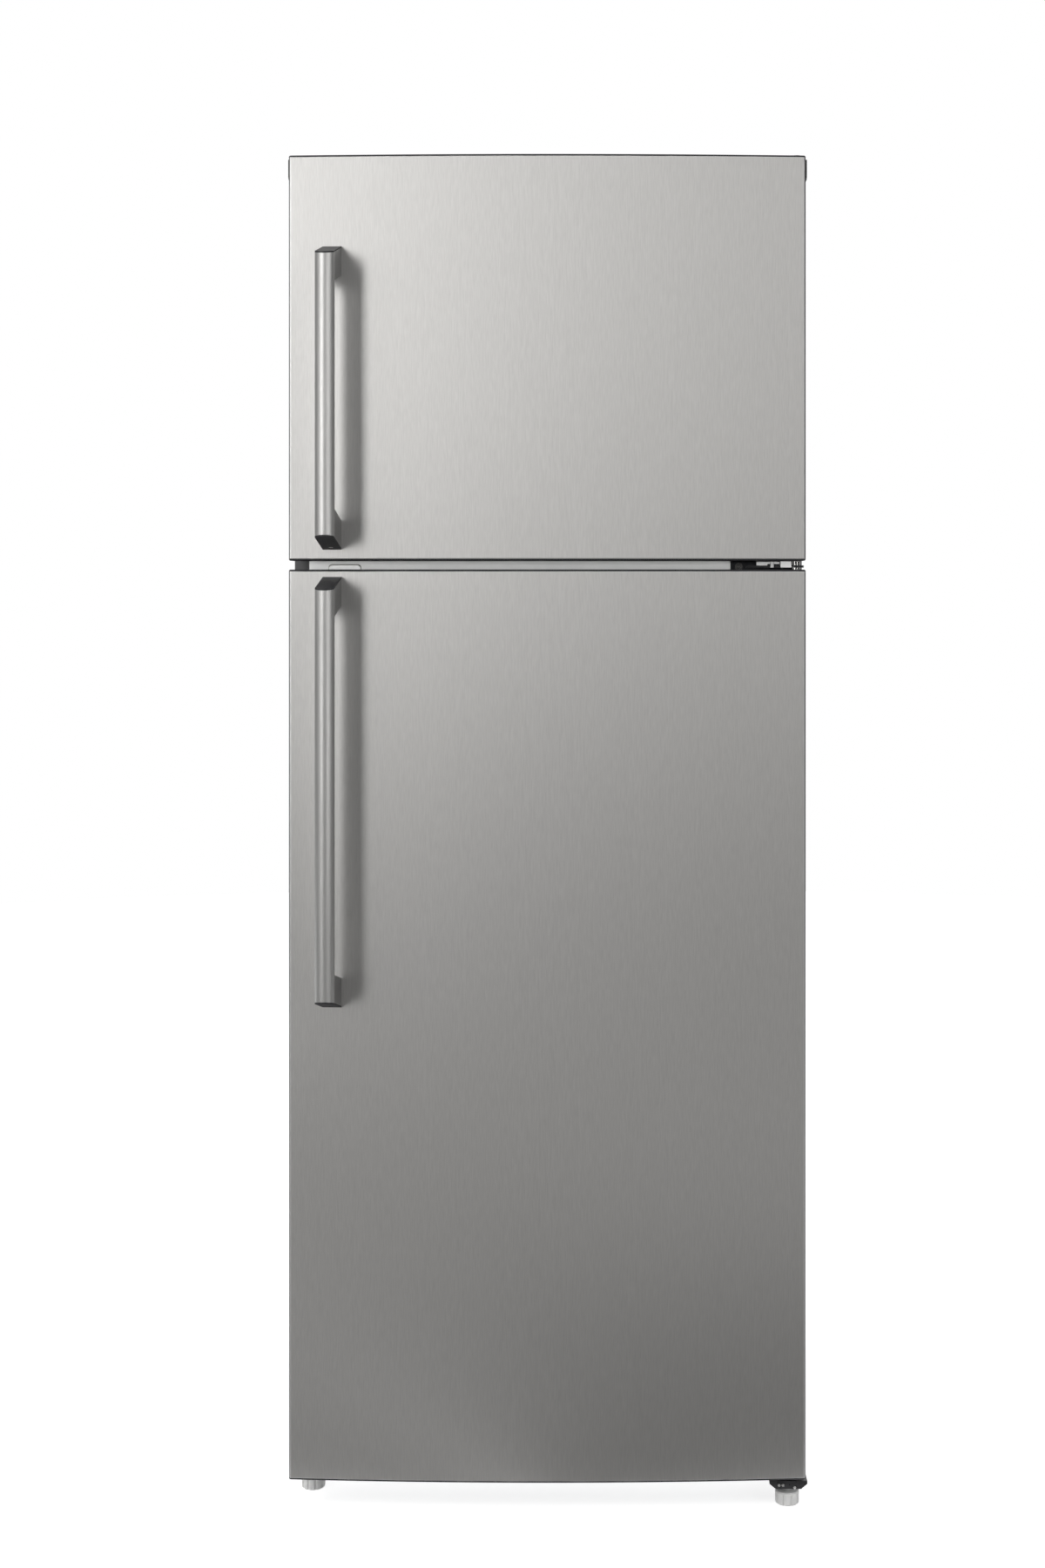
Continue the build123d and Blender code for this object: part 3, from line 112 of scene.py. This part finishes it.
# %% [markdown]
# ## Lamps
# Three soft lamps light whatever scatters light: paint, plastic and rubber. They are hidden from
# glossy rays, because a crowned bar would show each lamp as a burnt-out stripe. A fourth lamp by
# the camera reaches into the narrow gap between the doors, for the white stop on the middle hinge.

# %% Lamps
def softbox(name, place, target, width, height, watts):
    """A rectangular area lamp aimed at a point, not seen in reflections."""
    data = bpy.data.lights.new(name, "AREA")
    data.shape = "RECTANGLE"
    data.size, data.size_y = width, height
    data.energy = watts
    lamp = bpy.data.objects.new(name, data)
    lamp.location = place
    lamp.rotation_euler = (Vector(target) - Vector(place)).to_track_quat("-Z", "Y").to_euler()
    lamp.visible_camera = False
    lamp.visible_glossy = False
    scene.collection.objects.link(lamp)
    return lamp


DOORS_MIDDLE = (0.0, -0.2, 0.9)
FLOOR_MIDDLE = (0.0, 0.0, 0.0)
STOP_PLACE = (0.295, -0.3, 1.28)
softbox("key", (-2.6, -2.6, 2.6), DOORS_MIDDLE, width=1.6, height=2.4, watts=62.0)
softbox("fill", (3.0, -2.0, 1.6), DOORS_MIDDLE, width=1.4, height=2.2, watts=18.0)
softbox("top", (0.0, 0.4, 4.0), FLOOR_MIDDLE, width=2.5, height=2.5, watts=32.0)
stop_lamp = softbox("front", (0.3, -3.5, 1.39), STOP_PLACE, width=0.3, height=0.2, watts=46.0)


# %% [markdown]
# ## Floor
# A pale disc takes the fridge's shadow like any matt floor. Lit by the lamps alone it would be
# light grey against the white room, so a little light of its own, again only for rays that show
# it, lifts it to the same white and leaves a faint shadow under the fridge.

# %% Floor disc
def mesh_object(name, corners, faces):
    """A new mesh object from its corner points and faces."""
    mesh = bpy.data.meshes.new(name)
    mesh.from_pydata(corners, [], faces)
    mesh.update()
    made = bpy.data.objects.new(name, mesh)
    scene.collection.objects.link(made)
    return made


FLOOR_RADIUS = 6.0
FLOOR_SIDES = 96
rim = []
for side in range(FLOOR_SIDES):
    turn = 2 * math.pi * side / FLOOR_SIDES
    rim.append((FLOOR_RADIUS * math.cos(turn), FLOOR_RADIUS * math.sin(turn), 0.0))
floor = mesh_object("floor", rim, [tuple(range(FLOOR_SIDES))])
print("floor", FLOOR_SIDES, "sides, radius", FLOOR_RADIUS)

# %% Floor paint
FLOOR_GREY = (0.8, 0.8, 0.8, 1.0)
FLOOR_LIFT = 0.72

floor_paint = bpy.data.materials.new("floor_paint")
floor_paint.use_nodes = True
tree = floor_paint.node_tree
tree.nodes.clear()
matt = tree.nodes.new("ShaderNodeBsdfDiffuse")
matt.inputs["Color"].default_value = FLOOR_GREY
lift = tree.nodes.new("ShaderNodeMath")
lift.operation = "MULTIPLY"
lift.inputs[1].default_value = FLOOR_LIFT
glow = tree.nodes.new("ShaderNodeEmission")
glow.inputs["Color"].default_value = WHITE
both = tree.nodes.new("ShaderNodeAddShader")
end = tree.nodes.new("ShaderNodeOutputMaterial")
tree.links.new(seen_rays(tree), lift.inputs[0])
tree.links.new(lift.outputs[0], glow.inputs["Strength"])
tree.links.new(matt.outputs[0], both.inputs[0])
tree.links.new(glow.outputs[0], both.inputs[1])
tree.links.new(both.outputs[0], end.inputs["Surface"])
floor.data.materials.append(floor_paint)
print("floor lifted by", FLOOR_LIFT)


# %% [markdown]
# ## Cards
# Steel has no colour of its own to speak of: it shows what stands in front of it. A photographer
# shapes that with cards, and so does this scene. The cards are seen by glossy rays only, so they
# make reflections, but throw no shadow and don't show in the picture. A clear card adds its light
# to whatever lies behind it.

# %% One card
CARD_TINT = (1.0, 0.99, 0.975, 1.0)


def card_paint(name, shade, clear):
    """A plain light for a card, laid over what is behind it if the card is clear."""
    paint = bpy.data.materials.new(name)
    paint.use_nodes = True
    paint.node_tree.nodes.clear()
    new, link = paint.node_tree.nodes.new, paint.node_tree.links.new
    light = new("ShaderNodeEmission")
    light.inputs["Color"].default_value = CARD_TINT
    light.inputs["Strength"].default_value = shade
    shown = light
    if clear:
        shown = new("ShaderNodeAddShader")
        link(light.outputs[0], shown.inputs[0])
        link(new("ShaderNodeBsdfTransparent").outputs[0], shown.inputs[1])
    link(shown.outputs[0], new("ShaderNodeOutputMaterial").inputs["Surface"])
    return paint


def card(name, corners, faces, shade, clear=False):
    """A card that only glossy rays see."""
    made = mesh_object(name, corners, faces)
    made.data.materials.append(card_paint(name, shade, clear))
    made.visible_camera = False
    made.visible_diffuse = False
    made.visible_shadow = False
    made.visible_transmission = False
    return made


# %% A card bent round the doors
SCREEN_MIDDLE = -0.33
ARC_STEP = 5.0


def arc_card(name, start, stop, first, last, shade, clear=False):
    """A curved card between two rims, each a distance and a height, from one angle to another."""
    count = max(2, round((stop - start) / ARC_STEP) + 1)
    corners = []
    for distance, height in (first, last):
        for i in range(count):
            turn = math.radians(start + (stop - start) * i / (count - 1))
            across = distance * math.sin(turn)
            corners.append((across, SCREEN_MIDDLE - distance * math.cos(turn), height))
    faces = [(i, i + 1, count + i + 1, count + i) for i in range(count - 1)]
    return card(name, corners, faces, shade, clear)


# %% [markdown]
# ## Screen round the doors
# On the real doors the light falls from bright at the top left to dark at the bottom right, and
# each bar has a soft dark band at its right. That is how sideways-scattering steel looks under one
# bright panel at the upper left, so the cards form a round screen with such a panel, a weaker
# strip at the right and a floor in three rings.

# %% Screen
SCREEN_TOP = 7.0
SCREEN_BAND = 1.3
RINGS = (0.005, 1.2, 3.0, 6.0)
FLOOR_CARD_LIFT = 0.004
# The floor rings end beside the doors, and the screen goes on round the sides.
FLOOR_REACH = 90
# Angles run from left to right, 0 is straight in front of the doors. The shades are those of the
# near, middle and far floor, then of the lower and the upper band of the screen.
SECTORS = {
    "left_side": (-125, -60, (0.21, 0.31, 0.0, 0.25, 0.25)),
    "left": (-60, -38.5, (0.21, 0.31, 0.0, 0.7, 0.7)),
    "key": (-38.5, -28.5, (0.69, 0.0, 1.05, 4.05, 8.0)),
    "front": (-28.5, 34, (0.15, 0.305, 0.09, 0.0, 0.1)),
    "strip": (34, 44, (0.15, 0.305, 0.09, 2.0, 2.0)),
    "right": (44, 60, (0.15, 0.305, 0.09, 0.0, 0.1)),
    "right_side": (60, 125, (0.15, 0.305, 0.09, 0.03, 0.03)),
}
screen_distance = RINGS[-1]
for sector, (start, stop, shades) in SECTORS.items():
    floor_start, floor_stop = max(start, -FLOOR_REACH), min(stop, FLOOR_REACH)
    for ring in range(3):
        near, far = (RINGS[ring], FLOOR_CARD_LIFT), (RINGS[ring + 1], FLOOR_CARD_LIFT)
        arc_card(f"{sector}_floor_{ring}", floor_start, floor_stop, near, far, shades[ring])
    bottom, band = (screen_distance, 0.0), (screen_distance, SCREEN_BAND)
    arc_card(f"{sector}_low", start, stop, bottom, band, shades[3])
    arc_card(f"{sector}_high", start, stop, band, (screen_distance, SCREEN_TOP), shades[4])
print("screen of", len(SECTORS), "sectors")


# %% [markdown]
# ## Light for single pieces
# The crowned bars show a second bright band that the doors don't, and the plate and the stop lie
# deep in the gap, where hardly any of the studio's light arrives. Brighter cards or lamps would
# change everything else, so Blender's light linking gives these pieces a light of their own.

# %% Linked cards and lamp
def only_for(light, *names):
    """Light linking: a lamp or card lights the named pieces, and no others."""
    lit = bpy.data.collections.new(light.name)
    for name in names:
        lit.objects.link(nodes[name])
    light.light_linking.receiver_collection = lit


OWN_DISTANCE = 5.9
BAR_START, BAR_STOP, BAR_SHADE = 16.0, 28.0, 2.8
PLATE_START, PLATE_STOP, PLATE_SHADE = -40.0, 40.0, 1.2
PLATE_LOW, PLATE_HIGH = 0.6, 2.0

bottom, top = (OWN_DISTANCE, 0.0), (OWN_DISTANCE, SCREEN_TOP)
bar_strip = arc_card("bar_strip", BAR_START, BAR_STOP, bottom, top, BAR_SHADE, clear=True)
bottom, top = (OWN_DISTANCE, PLATE_LOW), (OWN_DISTANCE, PLATE_HIGH)
plate_card = arc_card("plate_card", PLATE_START, PLATE_STOP, bottom, top, PLATE_SHADE, clear=True)
only_for(bar_strip, "upper_handle_bar", "lower_handle_bar")
only_for(plate_card, "mullion_plate", "mullion_plug")
only_for(stop_lamp, "door_stop", "middle_hinge_bracket")


# %% [markdown]
# ## Finishes
# Every finish is one Principled shader. Its fixed values are typed straight into the shader, and
# only what varies over the surface comes in through nodes. Painted or photographed textures would
# need unwrapped pieces, so all patterns are noise, laid out in each piece's own coordinates: they
# stay put when a door swings.

# %% A finish, and giving it to pieces
class Finish:
    """A Principled material, its colour and its roughness."""

    def __init__(self, name, colour, roughness, metallic=0.0):
        self.material = bpy.data.materials.new(name)
        self.material.use_nodes = True
        self.tree = self.material.node_tree
        self.shader = self.tree.nodes["Principled BSDF"]
        self.colour = colour
        self.roughness = roughness
        self.set("Base Color", (*colour, 1.0))
        self.set("Roughness", roughness)
        self.set("Metallic", metallic)

    def set(self, socket, value):
        self.shader.inputs[socket].default_value = value


dressed = set()


def dress(finish, *names):
    """Gives a finish to CAD pieces."""
    for name in names:
        slots = nodes[name].data.materials
        slots.clear()
        slots.append(finish.material)
        dressed.add(name)
    print(finish.material.name, "on", len(names), "pieces")


# %% [markdown]
# ## Patterns
# A pattern is a noise that runs from 0 to 1. Its scale is given in cells per metre for each axis,
# so a small number along one axis draws the cells out into strokes. Most of a noise lies between
# 0.3 and 0.7, so that range is stretched to the full strength of tint and gloss.

# %% Noise
NOISE_LOW, NOISE_HIGH = 0.3, 0.7


def pattern(finish, cells, detail=2.0, seed=0.0):
    """Noise from 0 to 1, in cells per metre, the same on all axes or one number for each."""
    if not isinstance(cells, tuple):
        cells = (cells, cells, cells)
    place = finish.tree.nodes.new("ShaderNodeTexCoord")
    stretch = finish.tree.nodes.new("ShaderNodeMapping")
    stretch.inputs["Scale"].default_value = cells
    stretch.inputs["Location"].default_value = (seed, 1.7 * seed, 2.3 * seed)
    noise = finish.tree.nodes.new("ShaderNodeTexNoise")
    noise.inputs["Scale"].default_value = 1.0
    noise.inputs["Detail"].default_value = detail
    finish.tree.links.new(place.outputs["Object"], stretch.inputs["Vector"])
    finish.tree.links.new(stretch.outputs["Vector"], noise.inputs["Vector"])
    return noise.outputs["Fac"]


# %% Tint, gloss and relief
def tint(finish, value, amount):
    """Colour that goes a little lighter and darker with the pattern."""
    ramp = finish.tree.nodes.new("ShaderNodeValToRGB")
    dark, pale = ramp.color_ramp.elements
    dark.position, pale.position = NOISE_LOW, NOISE_HIGH
    dark.color = (*[c * (1 - amount) for c in finish.colour], 1.0)
    pale.color = (*[min(1.0, c * (1 + amount)) for c in finish.colour], 1.0)
    finish.tree.links.new(value, ramp.inputs["Fac"])
    finish.tree.links.new(ramp.outputs["Color"], finish.shader.inputs["Base Color"])


def gloss(finish, value, amount):
    """Roughness that varies with the pattern."""
    scale = finish.tree.nodes.new("ShaderNodeMapRange")
    scale.inputs["From Min"].default_value = NOISE_LOW
    scale.inputs["From Max"].default_value = NOISE_HIGH
    scale.inputs["To Min"].default_value = finish.roughness - amount
    scale.inputs["To Max"].default_value = finish.roughness + amount
    finish.tree.links.new(value, scale.inputs["Value"])
    finish.tree.links.new(scale.outputs["Result"], finish.shader.inputs["Roughness"])


def bump(finish, value, strength, depth):
    """Relief from the pattern, depth in metres."""
    relief = finish.tree.nodes.new("ShaderNodeBump")
    relief.inputs["Strength"].default_value = strength
    relief.inputs["Distance"].default_value = depth
    finish.tree.links.new(value, relief.inputs["Height"])
    finish.tree.links.new(relief.outputs["Normal"], finish.shader.inputs["Normal"])


# %% [markdown]
# ## Paint by direction
# The door skins get a painted highlight, a near-white rim where they bend round to the sides, and
# painted shade, a darker steel on the sides; both stand in for bright and dark reflections there.
# Both could be cut as separate pieces. It is simpler to read which way the surface faces, from the
# piece's own normal, and to lay another colour over the steel there.

# %% Masks from the normal
def mask(finish, axis, start, stop):
    """0 to 1 as the normal along one axis, without its sign, goes from start to stop."""
    place = finish.tree.nodes.new("ShaderNodeTexCoord")
    split = finish.tree.nodes.new("ShaderNodeSeparateXYZ")
    size = finish.tree.nodes.new("ShaderNodeMath")
    size.operation = "ABSOLUTE"
    scale = finish.tree.nodes.new("ShaderNodeMapRange")
    scale.inputs["From Min"].default_value = start
    scale.inputs["From Max"].default_value = stop
    finish.tree.links.new(place.outputs["Normal"], split.inputs["Vector"])
    finish.tree.links.new(split.outputs[axis], size.inputs[0])
    finish.tree.links.new(size.outputs[0], scale.inputs["Value"])
    return scale.outputs["Result"]


def paint_over(finish, where, colour):
    """Another colour over the present one where the mask is 1."""
    over = finish.tree.nodes.new("ShaderNodeMix")
    over.data_type = "RGBA"
    over.inputs["B"].default_value = (*colour, 1.0)
    below = finish.shader.inputs["Base Color"].links[0].from_socket
    finish.tree.links.new(where, over.inputs["Factor"])
    finish.tree.links.new(below, over.inputs["A"])
    finish.tree.links.new(over.outputs["Result"], finish.shader.inputs["Base Color"])


# %% [markdown]
# ## Brushed steel of the doors
# The sheet is brushed up and down, in strokes about a millimetre wide and two centimetres long.
# They are far too fine to model, so a noise stretched along the height stands in for them. Such
# strokes scatter light sideways much more than up and down, and that is what the shader's
# anisotropy does: it draws the key panel's reflection out across the whole door.

# %% Door steel
# Colours of the painted highlight on the rim and of the painted shade on the sides.
PAINTED_RIM_HIGHLIGHT = (0.97, 0.97, 0.965)
PAINTED_SIDE_SHADE = (0.35, 0.35, 0.355)

door_steel = Finish("door_steel", (0.805, 0.8, 0.79), 0.4775, metallic=1.0)
door_steel.set("Anisotropic", 0.75)
strokes = pattern(door_steel, (800.0, 800.0, 55.0))
tint(door_steel, strokes, 0.04)
gloss(door_steel, pattern(door_steel, (600.0, 600.0, 45.0), seed=3.1), 0.012)
bump(door_steel, strokes, 0.05, 0.00005)
# Painted highlight: a near-white colour on the rim's bend stands in for its bright reflection.
paint_over(door_steel, mask(door_steel, "Y", 0.996, 0.985), PAINTED_RIM_HIGHLIGHT)
# Painted shade: a darker steel colour on the sides stands in for their dark reflections.
paint_over(door_steel, mask(door_steel, "X", 0.42, 0.52), PAINTED_SIDE_SHADE)
dress(door_steel, "upper_door_skin", "lower_door_skin")

# %% [markdown]
# ## Handle bars
# The bars are brushed along their length as well, finer than the doors and with more shine. Their
# crowned fronts turn quickly from left to right, so the key panel and the bars' own strip appear
# as two bright bands. The posts behind them are a darker steel.

# %% Handle steel
handle_steel = Finish("handle_steel", (0.52, 0.52, 0.515), 0.37, metallic=0.9)
handle_steel.set("Anisotropic", 0.6)
drawn = pattern(handle_steel, (1500.0, 1500.0, 30.0), detail=3.0, seed=1.3)
tint(handle_steel, drawn, 0.05)
gloss(handle_steel, pattern(handle_steel, (900.0, 900.0, 12.0), seed=5.0), 0.04)
bump(handle_steel, drawn, 0.1, 0.00005)
dress(handle_steel, "upper_handle_bar", "lower_handle_bar")

# %% Post steel
post_steel = Finish("post_steel", (0.4, 0.4, 0.4), 0.34, metallic=1.0)
tint(post_steel, pattern(post_steel, (1500.0, 1500.0, 30.0), detail=3.0, seed=2.6), 0.05)
gloss(post_steel, pattern(post_steel, (900.0, 900.0, 12.0), seed=4.0), 0.04)
dress(post_steel, "upper_handle_posts", "lower_handle_posts")

# %% [markdown]
# ## Dark mouldings
# The caps that close the doors at top and bottom, the slanted ends of the handles and the cover on
# the top hinge are dark moulded plastic. Its fine grain takes most of the shine away, so the
# reflection is turned down and a small bump does the rest.

# %% Dark plastic
dark_plastic = Finish("dark_plastic", (0.026, 0.026, 0.028), 0.5)
dark_plastic.set("Specular IOR Level", 0.25)
grain = pattern(dark_plastic, 1400.0, detail=4.0)
tint(dark_plastic, pattern(dark_plastic, 60.0, seed=2.0), 0.12)
gloss(dark_plastic, grain, 0.08)
bump(dark_plastic, grain, 0.25, 0.0001)
dress(
    dark_plastic,
    "upper_door_top_cap",
    "upper_door_bottom_cap",
    "lower_door_top_cap",
    "lower_door_bottom_cap",
    "upper_handle_caps",
    "lower_handle_caps",
    "top_hinge_cover",
)

# %% [markdown]
# ## Painted case
# The wrapper round the cabinet is sheet steel in dark grey paint. Sprayed paint dries with a
# faint orange-peel surface. A fine, shallow bump gives that, and broad soft noises vary colour and
# gloss, so that the large sides don't look computed.

# %% Case paint
case_paint = Finish("case_paint", (0.11, 0.11, 0.112), 0.38)
tint(case_paint, pattern(case_paint, 9.0, seed=4.0), 0.04)
gloss(case_paint, pattern(case_paint, 30.0, seed=8.0), 0.04)
bump(case_paint, pattern(case_paint, 700.0, detail=1.0), 0.15, 0.00012)
dress(case_paint, "outer_case")

# %% [markdown]
# ## Plate and plug in the gap
# Between the doors a bare steel plate covers the bar that parts the two compartments, with a plug
# over the hinge holes that aren't used. In the photograph the plate is nearly as bright as the
# doors, so it gets much the same sideways-scattering steel, and the plug a paler one.

# %% Plate and plug
plate_steel = Finish("plate_steel", (0.8, 0.81, 0.81), 0.47, metallic=1.0)
plate_steel.set("Anisotropic", 0.75)
tint(plate_steel, pattern(plate_steel, 40.0, seed=6.0), 0.03)
gloss(plate_steel, pattern(plate_steel, 200.0, seed=7.0), 0.02)
dress(plate_steel, "mullion_plate")

plug_paint = Finish("plug_paint", (0.92, 0.93, 0.93), 0.45, metallic=1.0)
plug_paint.set("Anisotropic", 0.7)
tint(plug_paint, pattern(plug_paint, 120.0, seed=6.0), 0.03)
gloss(plug_paint, pattern(plug_paint, 200.0, seed=2.0), 0.03)
dress(plug_paint, "mullion_plug")

# %% [markdown]
# ## Zinc-coated sheet
# Back, base and machine cover are bare zinc-coated sheet, which shows as soft cloudy spangles a
# couple of centimetres across. One noise drives both colour and gloss, because on real sheet each
# spangle differs from the next in both.

# %% Zinc
zinc = Finish("zinc", (0.5, 0.51, 0.52), 0.46, metallic=0.8)
spangle = pattern(zinc, 55.0, detail=5.0, seed=9.0)
tint(zinc, spangle, 0.14)
gloss(zinc, spangle, 0.1)
dress(zinc, "back_panel", "machine_cover", "base_plate", "fan_motor")

# %% [markdown]
# ## Black paint and bright fasteners
# The hinge plates and the compressor are painted black. Pins, screws and axles are bright turned
# steel. Turning leaves fine rings round an upright pin, so the noise has thin layers along the
# height. Screws and axles lie flat, but they are too small for the difference to show.

# %% Black paint
black_paint = Finish("black_paint", (0.018, 0.018, 0.02), 0.34)
tint(black_paint, pattern(black_paint, 80.0, seed=1.0), 0.15)
gloss(black_paint, pattern(black_paint, 300.0, seed=2.0), 0.08)
bump(black_paint, pattern(black_paint, 900.0), 0.2, 0.0001)
dress(black_paint, "top_hinge_bracket", "middle_hinge_bracket", "bottom_hinge_bracket", "compressor")

# %% Bright steel
bright_steel = Finish("bright_steel", (0.78, 0.78, 0.77), 0.2, metallic=1.0)
turned = pattern(bright_steel, (400.0, 400.0, 2600.0), detail=3.0)
tint(bright_steel, turned, 0.08)
gloss(bright_steel, turned, 0.06)
dress(
    bright_steel,
    "hinge_pins",
    "hinge_screws",
    "roller_axles",
    "upper_handle_screw",
    "lower_handle_screw",
)

# %% [markdown]
# ## White liners
# Inside, the liners are vacuum-formed sheet: white, smooth and softly shining. On such a pale, even
# wall the slightest pattern shows up as stains, and a bump as specks where the wall is seen at a
# low angle. So tint and gloss hardly vary, and there is no relief.

# %% White sheet
white_sheet = Finish("white_sheet", (0.82, 0.83, 0.83), 0.3)
tint(white_sheet, pattern(white_sheet, 9.0, detail=1.0, seed=3.0), 0.005)
gloss(white_sheet, pattern(white_sheet, 12.0, detail=0.0, seed=5.0), 0.008)
dress(
    white_sheet,
    "freezer_liner",
    "fridge_liner",
    "upper_door_liner",
    "lower_door_liner",
    "freezer_duct_cover",
    "fridge_air_duct",
    "control_box",
    "shelf_trims",
)

# %% [markdown]
# ## Nylon and grey plastics
# Stop, feet, bushes and switch are white nylon. Light goes a little way into it, which softens its
# edges, so some subsurface scattering is mixed in. Rollers, knob, fan and drip tray are a plain
# grey moulding with a dull grain.

# %% White nylon
NYLON_RADIUS = 0.004

white_nylon = Finish("white_nylon", (0.8, 0.8, 0.79), 0.48)
moulded = pattern(white_nylon, 420.0, detail=3.0)
tint(white_nylon, pattern(white_nylon, 120.0, seed=7.0), 0.04)
gloss(white_nylon, moulded, 0.08)
bump(white_nylon, moulded, 0.15, 0.00012)
white_nylon.set("Subsurface Weight", 0.15)
white_nylon.set("Subsurface Radius", (NYLON_RADIUS, NYLON_RADIUS, NYLON_RADIUS))
dress(
    white_nylon,
    "door_stop",
    "front_foot_left",
    "front_foot_right",
    "lamp_switch",
    "upper_door_hinge_bushes",
    "lower_door_hinge_bushes",
)

# %% Grey plastic
grey_plastic = Finish("grey_plastic", (0.3, 0.31, 0.32), 0.5)
dull = pattern(grey_plastic, 380.0, detail=3.0)
tint(grey_plastic, pattern(grey_plastic, 70.0, seed=2.0), 0.06)
gloss(grey_plastic, dull, 0.08)
bump(grey_plastic, dull, 0.2, 0.00015)
dress(
    grey_plastic,
    "rear_roller_left",
    "rear_roller_right",
    "control_knob",
    "evaporator_fan",
    "drip_tray",
)

# %% [markdown]
# ## Clear pieces
# Racks, crisper and lamp cover are clear mouldings with a faint blue tint, and the shelves are
# float glass with a greener one. Both are solid pieces with true walls, so a high transmission
# and the right index of refraction are all that the shader needs.

# %% Clear plastic
clear_plastic = Finish("clear_plastic", (0.9, 0.94, 0.96), 0.08)
clear_plastic.set("Transmission Weight", 0.9)
clear_plastic.set("IOR", 1.49)
gloss(clear_plastic, pattern(clear_plastic, 45.0, seed=1.0), 0.03)
tint(clear_plastic, pattern(clear_plastic, 20.0, seed=2.0), 0.02)
dress(clear_plastic, "upper_door_racks", "lower_door_racks", "crisper_drawer", "lamp_lens")

# %% Float glass
float_glass = Finish("float_glass", (0.86, 0.95, 0.92), 0.03)
float_glass.set("Transmission Weight", 0.95)
float_glass.set("IOR", 1.52)
tint(float_glass, pattern(float_glass, 6.0, seed=4.0), 0.015)
gloss(float_glass, pattern(float_glass, 90.0, seed=6.0), 0.015)
dress(float_glass, "shelf_glass")

# %% [markdown]
# ## Seals, foam and fins
# The door seals and the cord's gland are soft grey rubber. Foam and evaporator are hidden inside
# the walls, and still get their own look: a coarse cellular relief on the foam, and bright
# aluminium on the fins.

# %% Rubber
seal_rubber = Finish("seal_rubber", (0.3, 0.3, 0.3), 0.6)
skin_grain = pattern(seal_rubber, 500.0, detail=3.0)
tint(seal_rubber, pattern(seal_rubber, 90.0, seed=5.0), 0.08)
gloss(seal_rubber, skin_grain, 0.1)
bump(seal_rubber, skin_grain, 0.2, 0.0001)
dress(seal_rubber, "upper_door_gasket", "lower_door_gasket", "cord_gland")

# %% Foam and fins
foam = Finish("foam", (0.36, 0.345, 0.3), 0.85)
tint(foam, pattern(foam, 30.0, seed=6.0), 0.1)
bump(foam, pattern(foam, 900.0, detail=4.0), 0.5, 0.0005)
dress(foam, "insulation_foam", "upper_door_foam", "lower_door_foam")

fins = Finish("fins", (0.75, 0.76, 0.77), 0.3, metallic=1.0)
tint(fins, pattern(fins, (200.0, 200.0, 40.0), seed=2.0), 0.06)
gloss(fins, pattern(fins, 150.0, seed=3.0), 0.08)
dress(fins, "evaporator")
print("without a finish", sorted(set(nodes) - dressed))
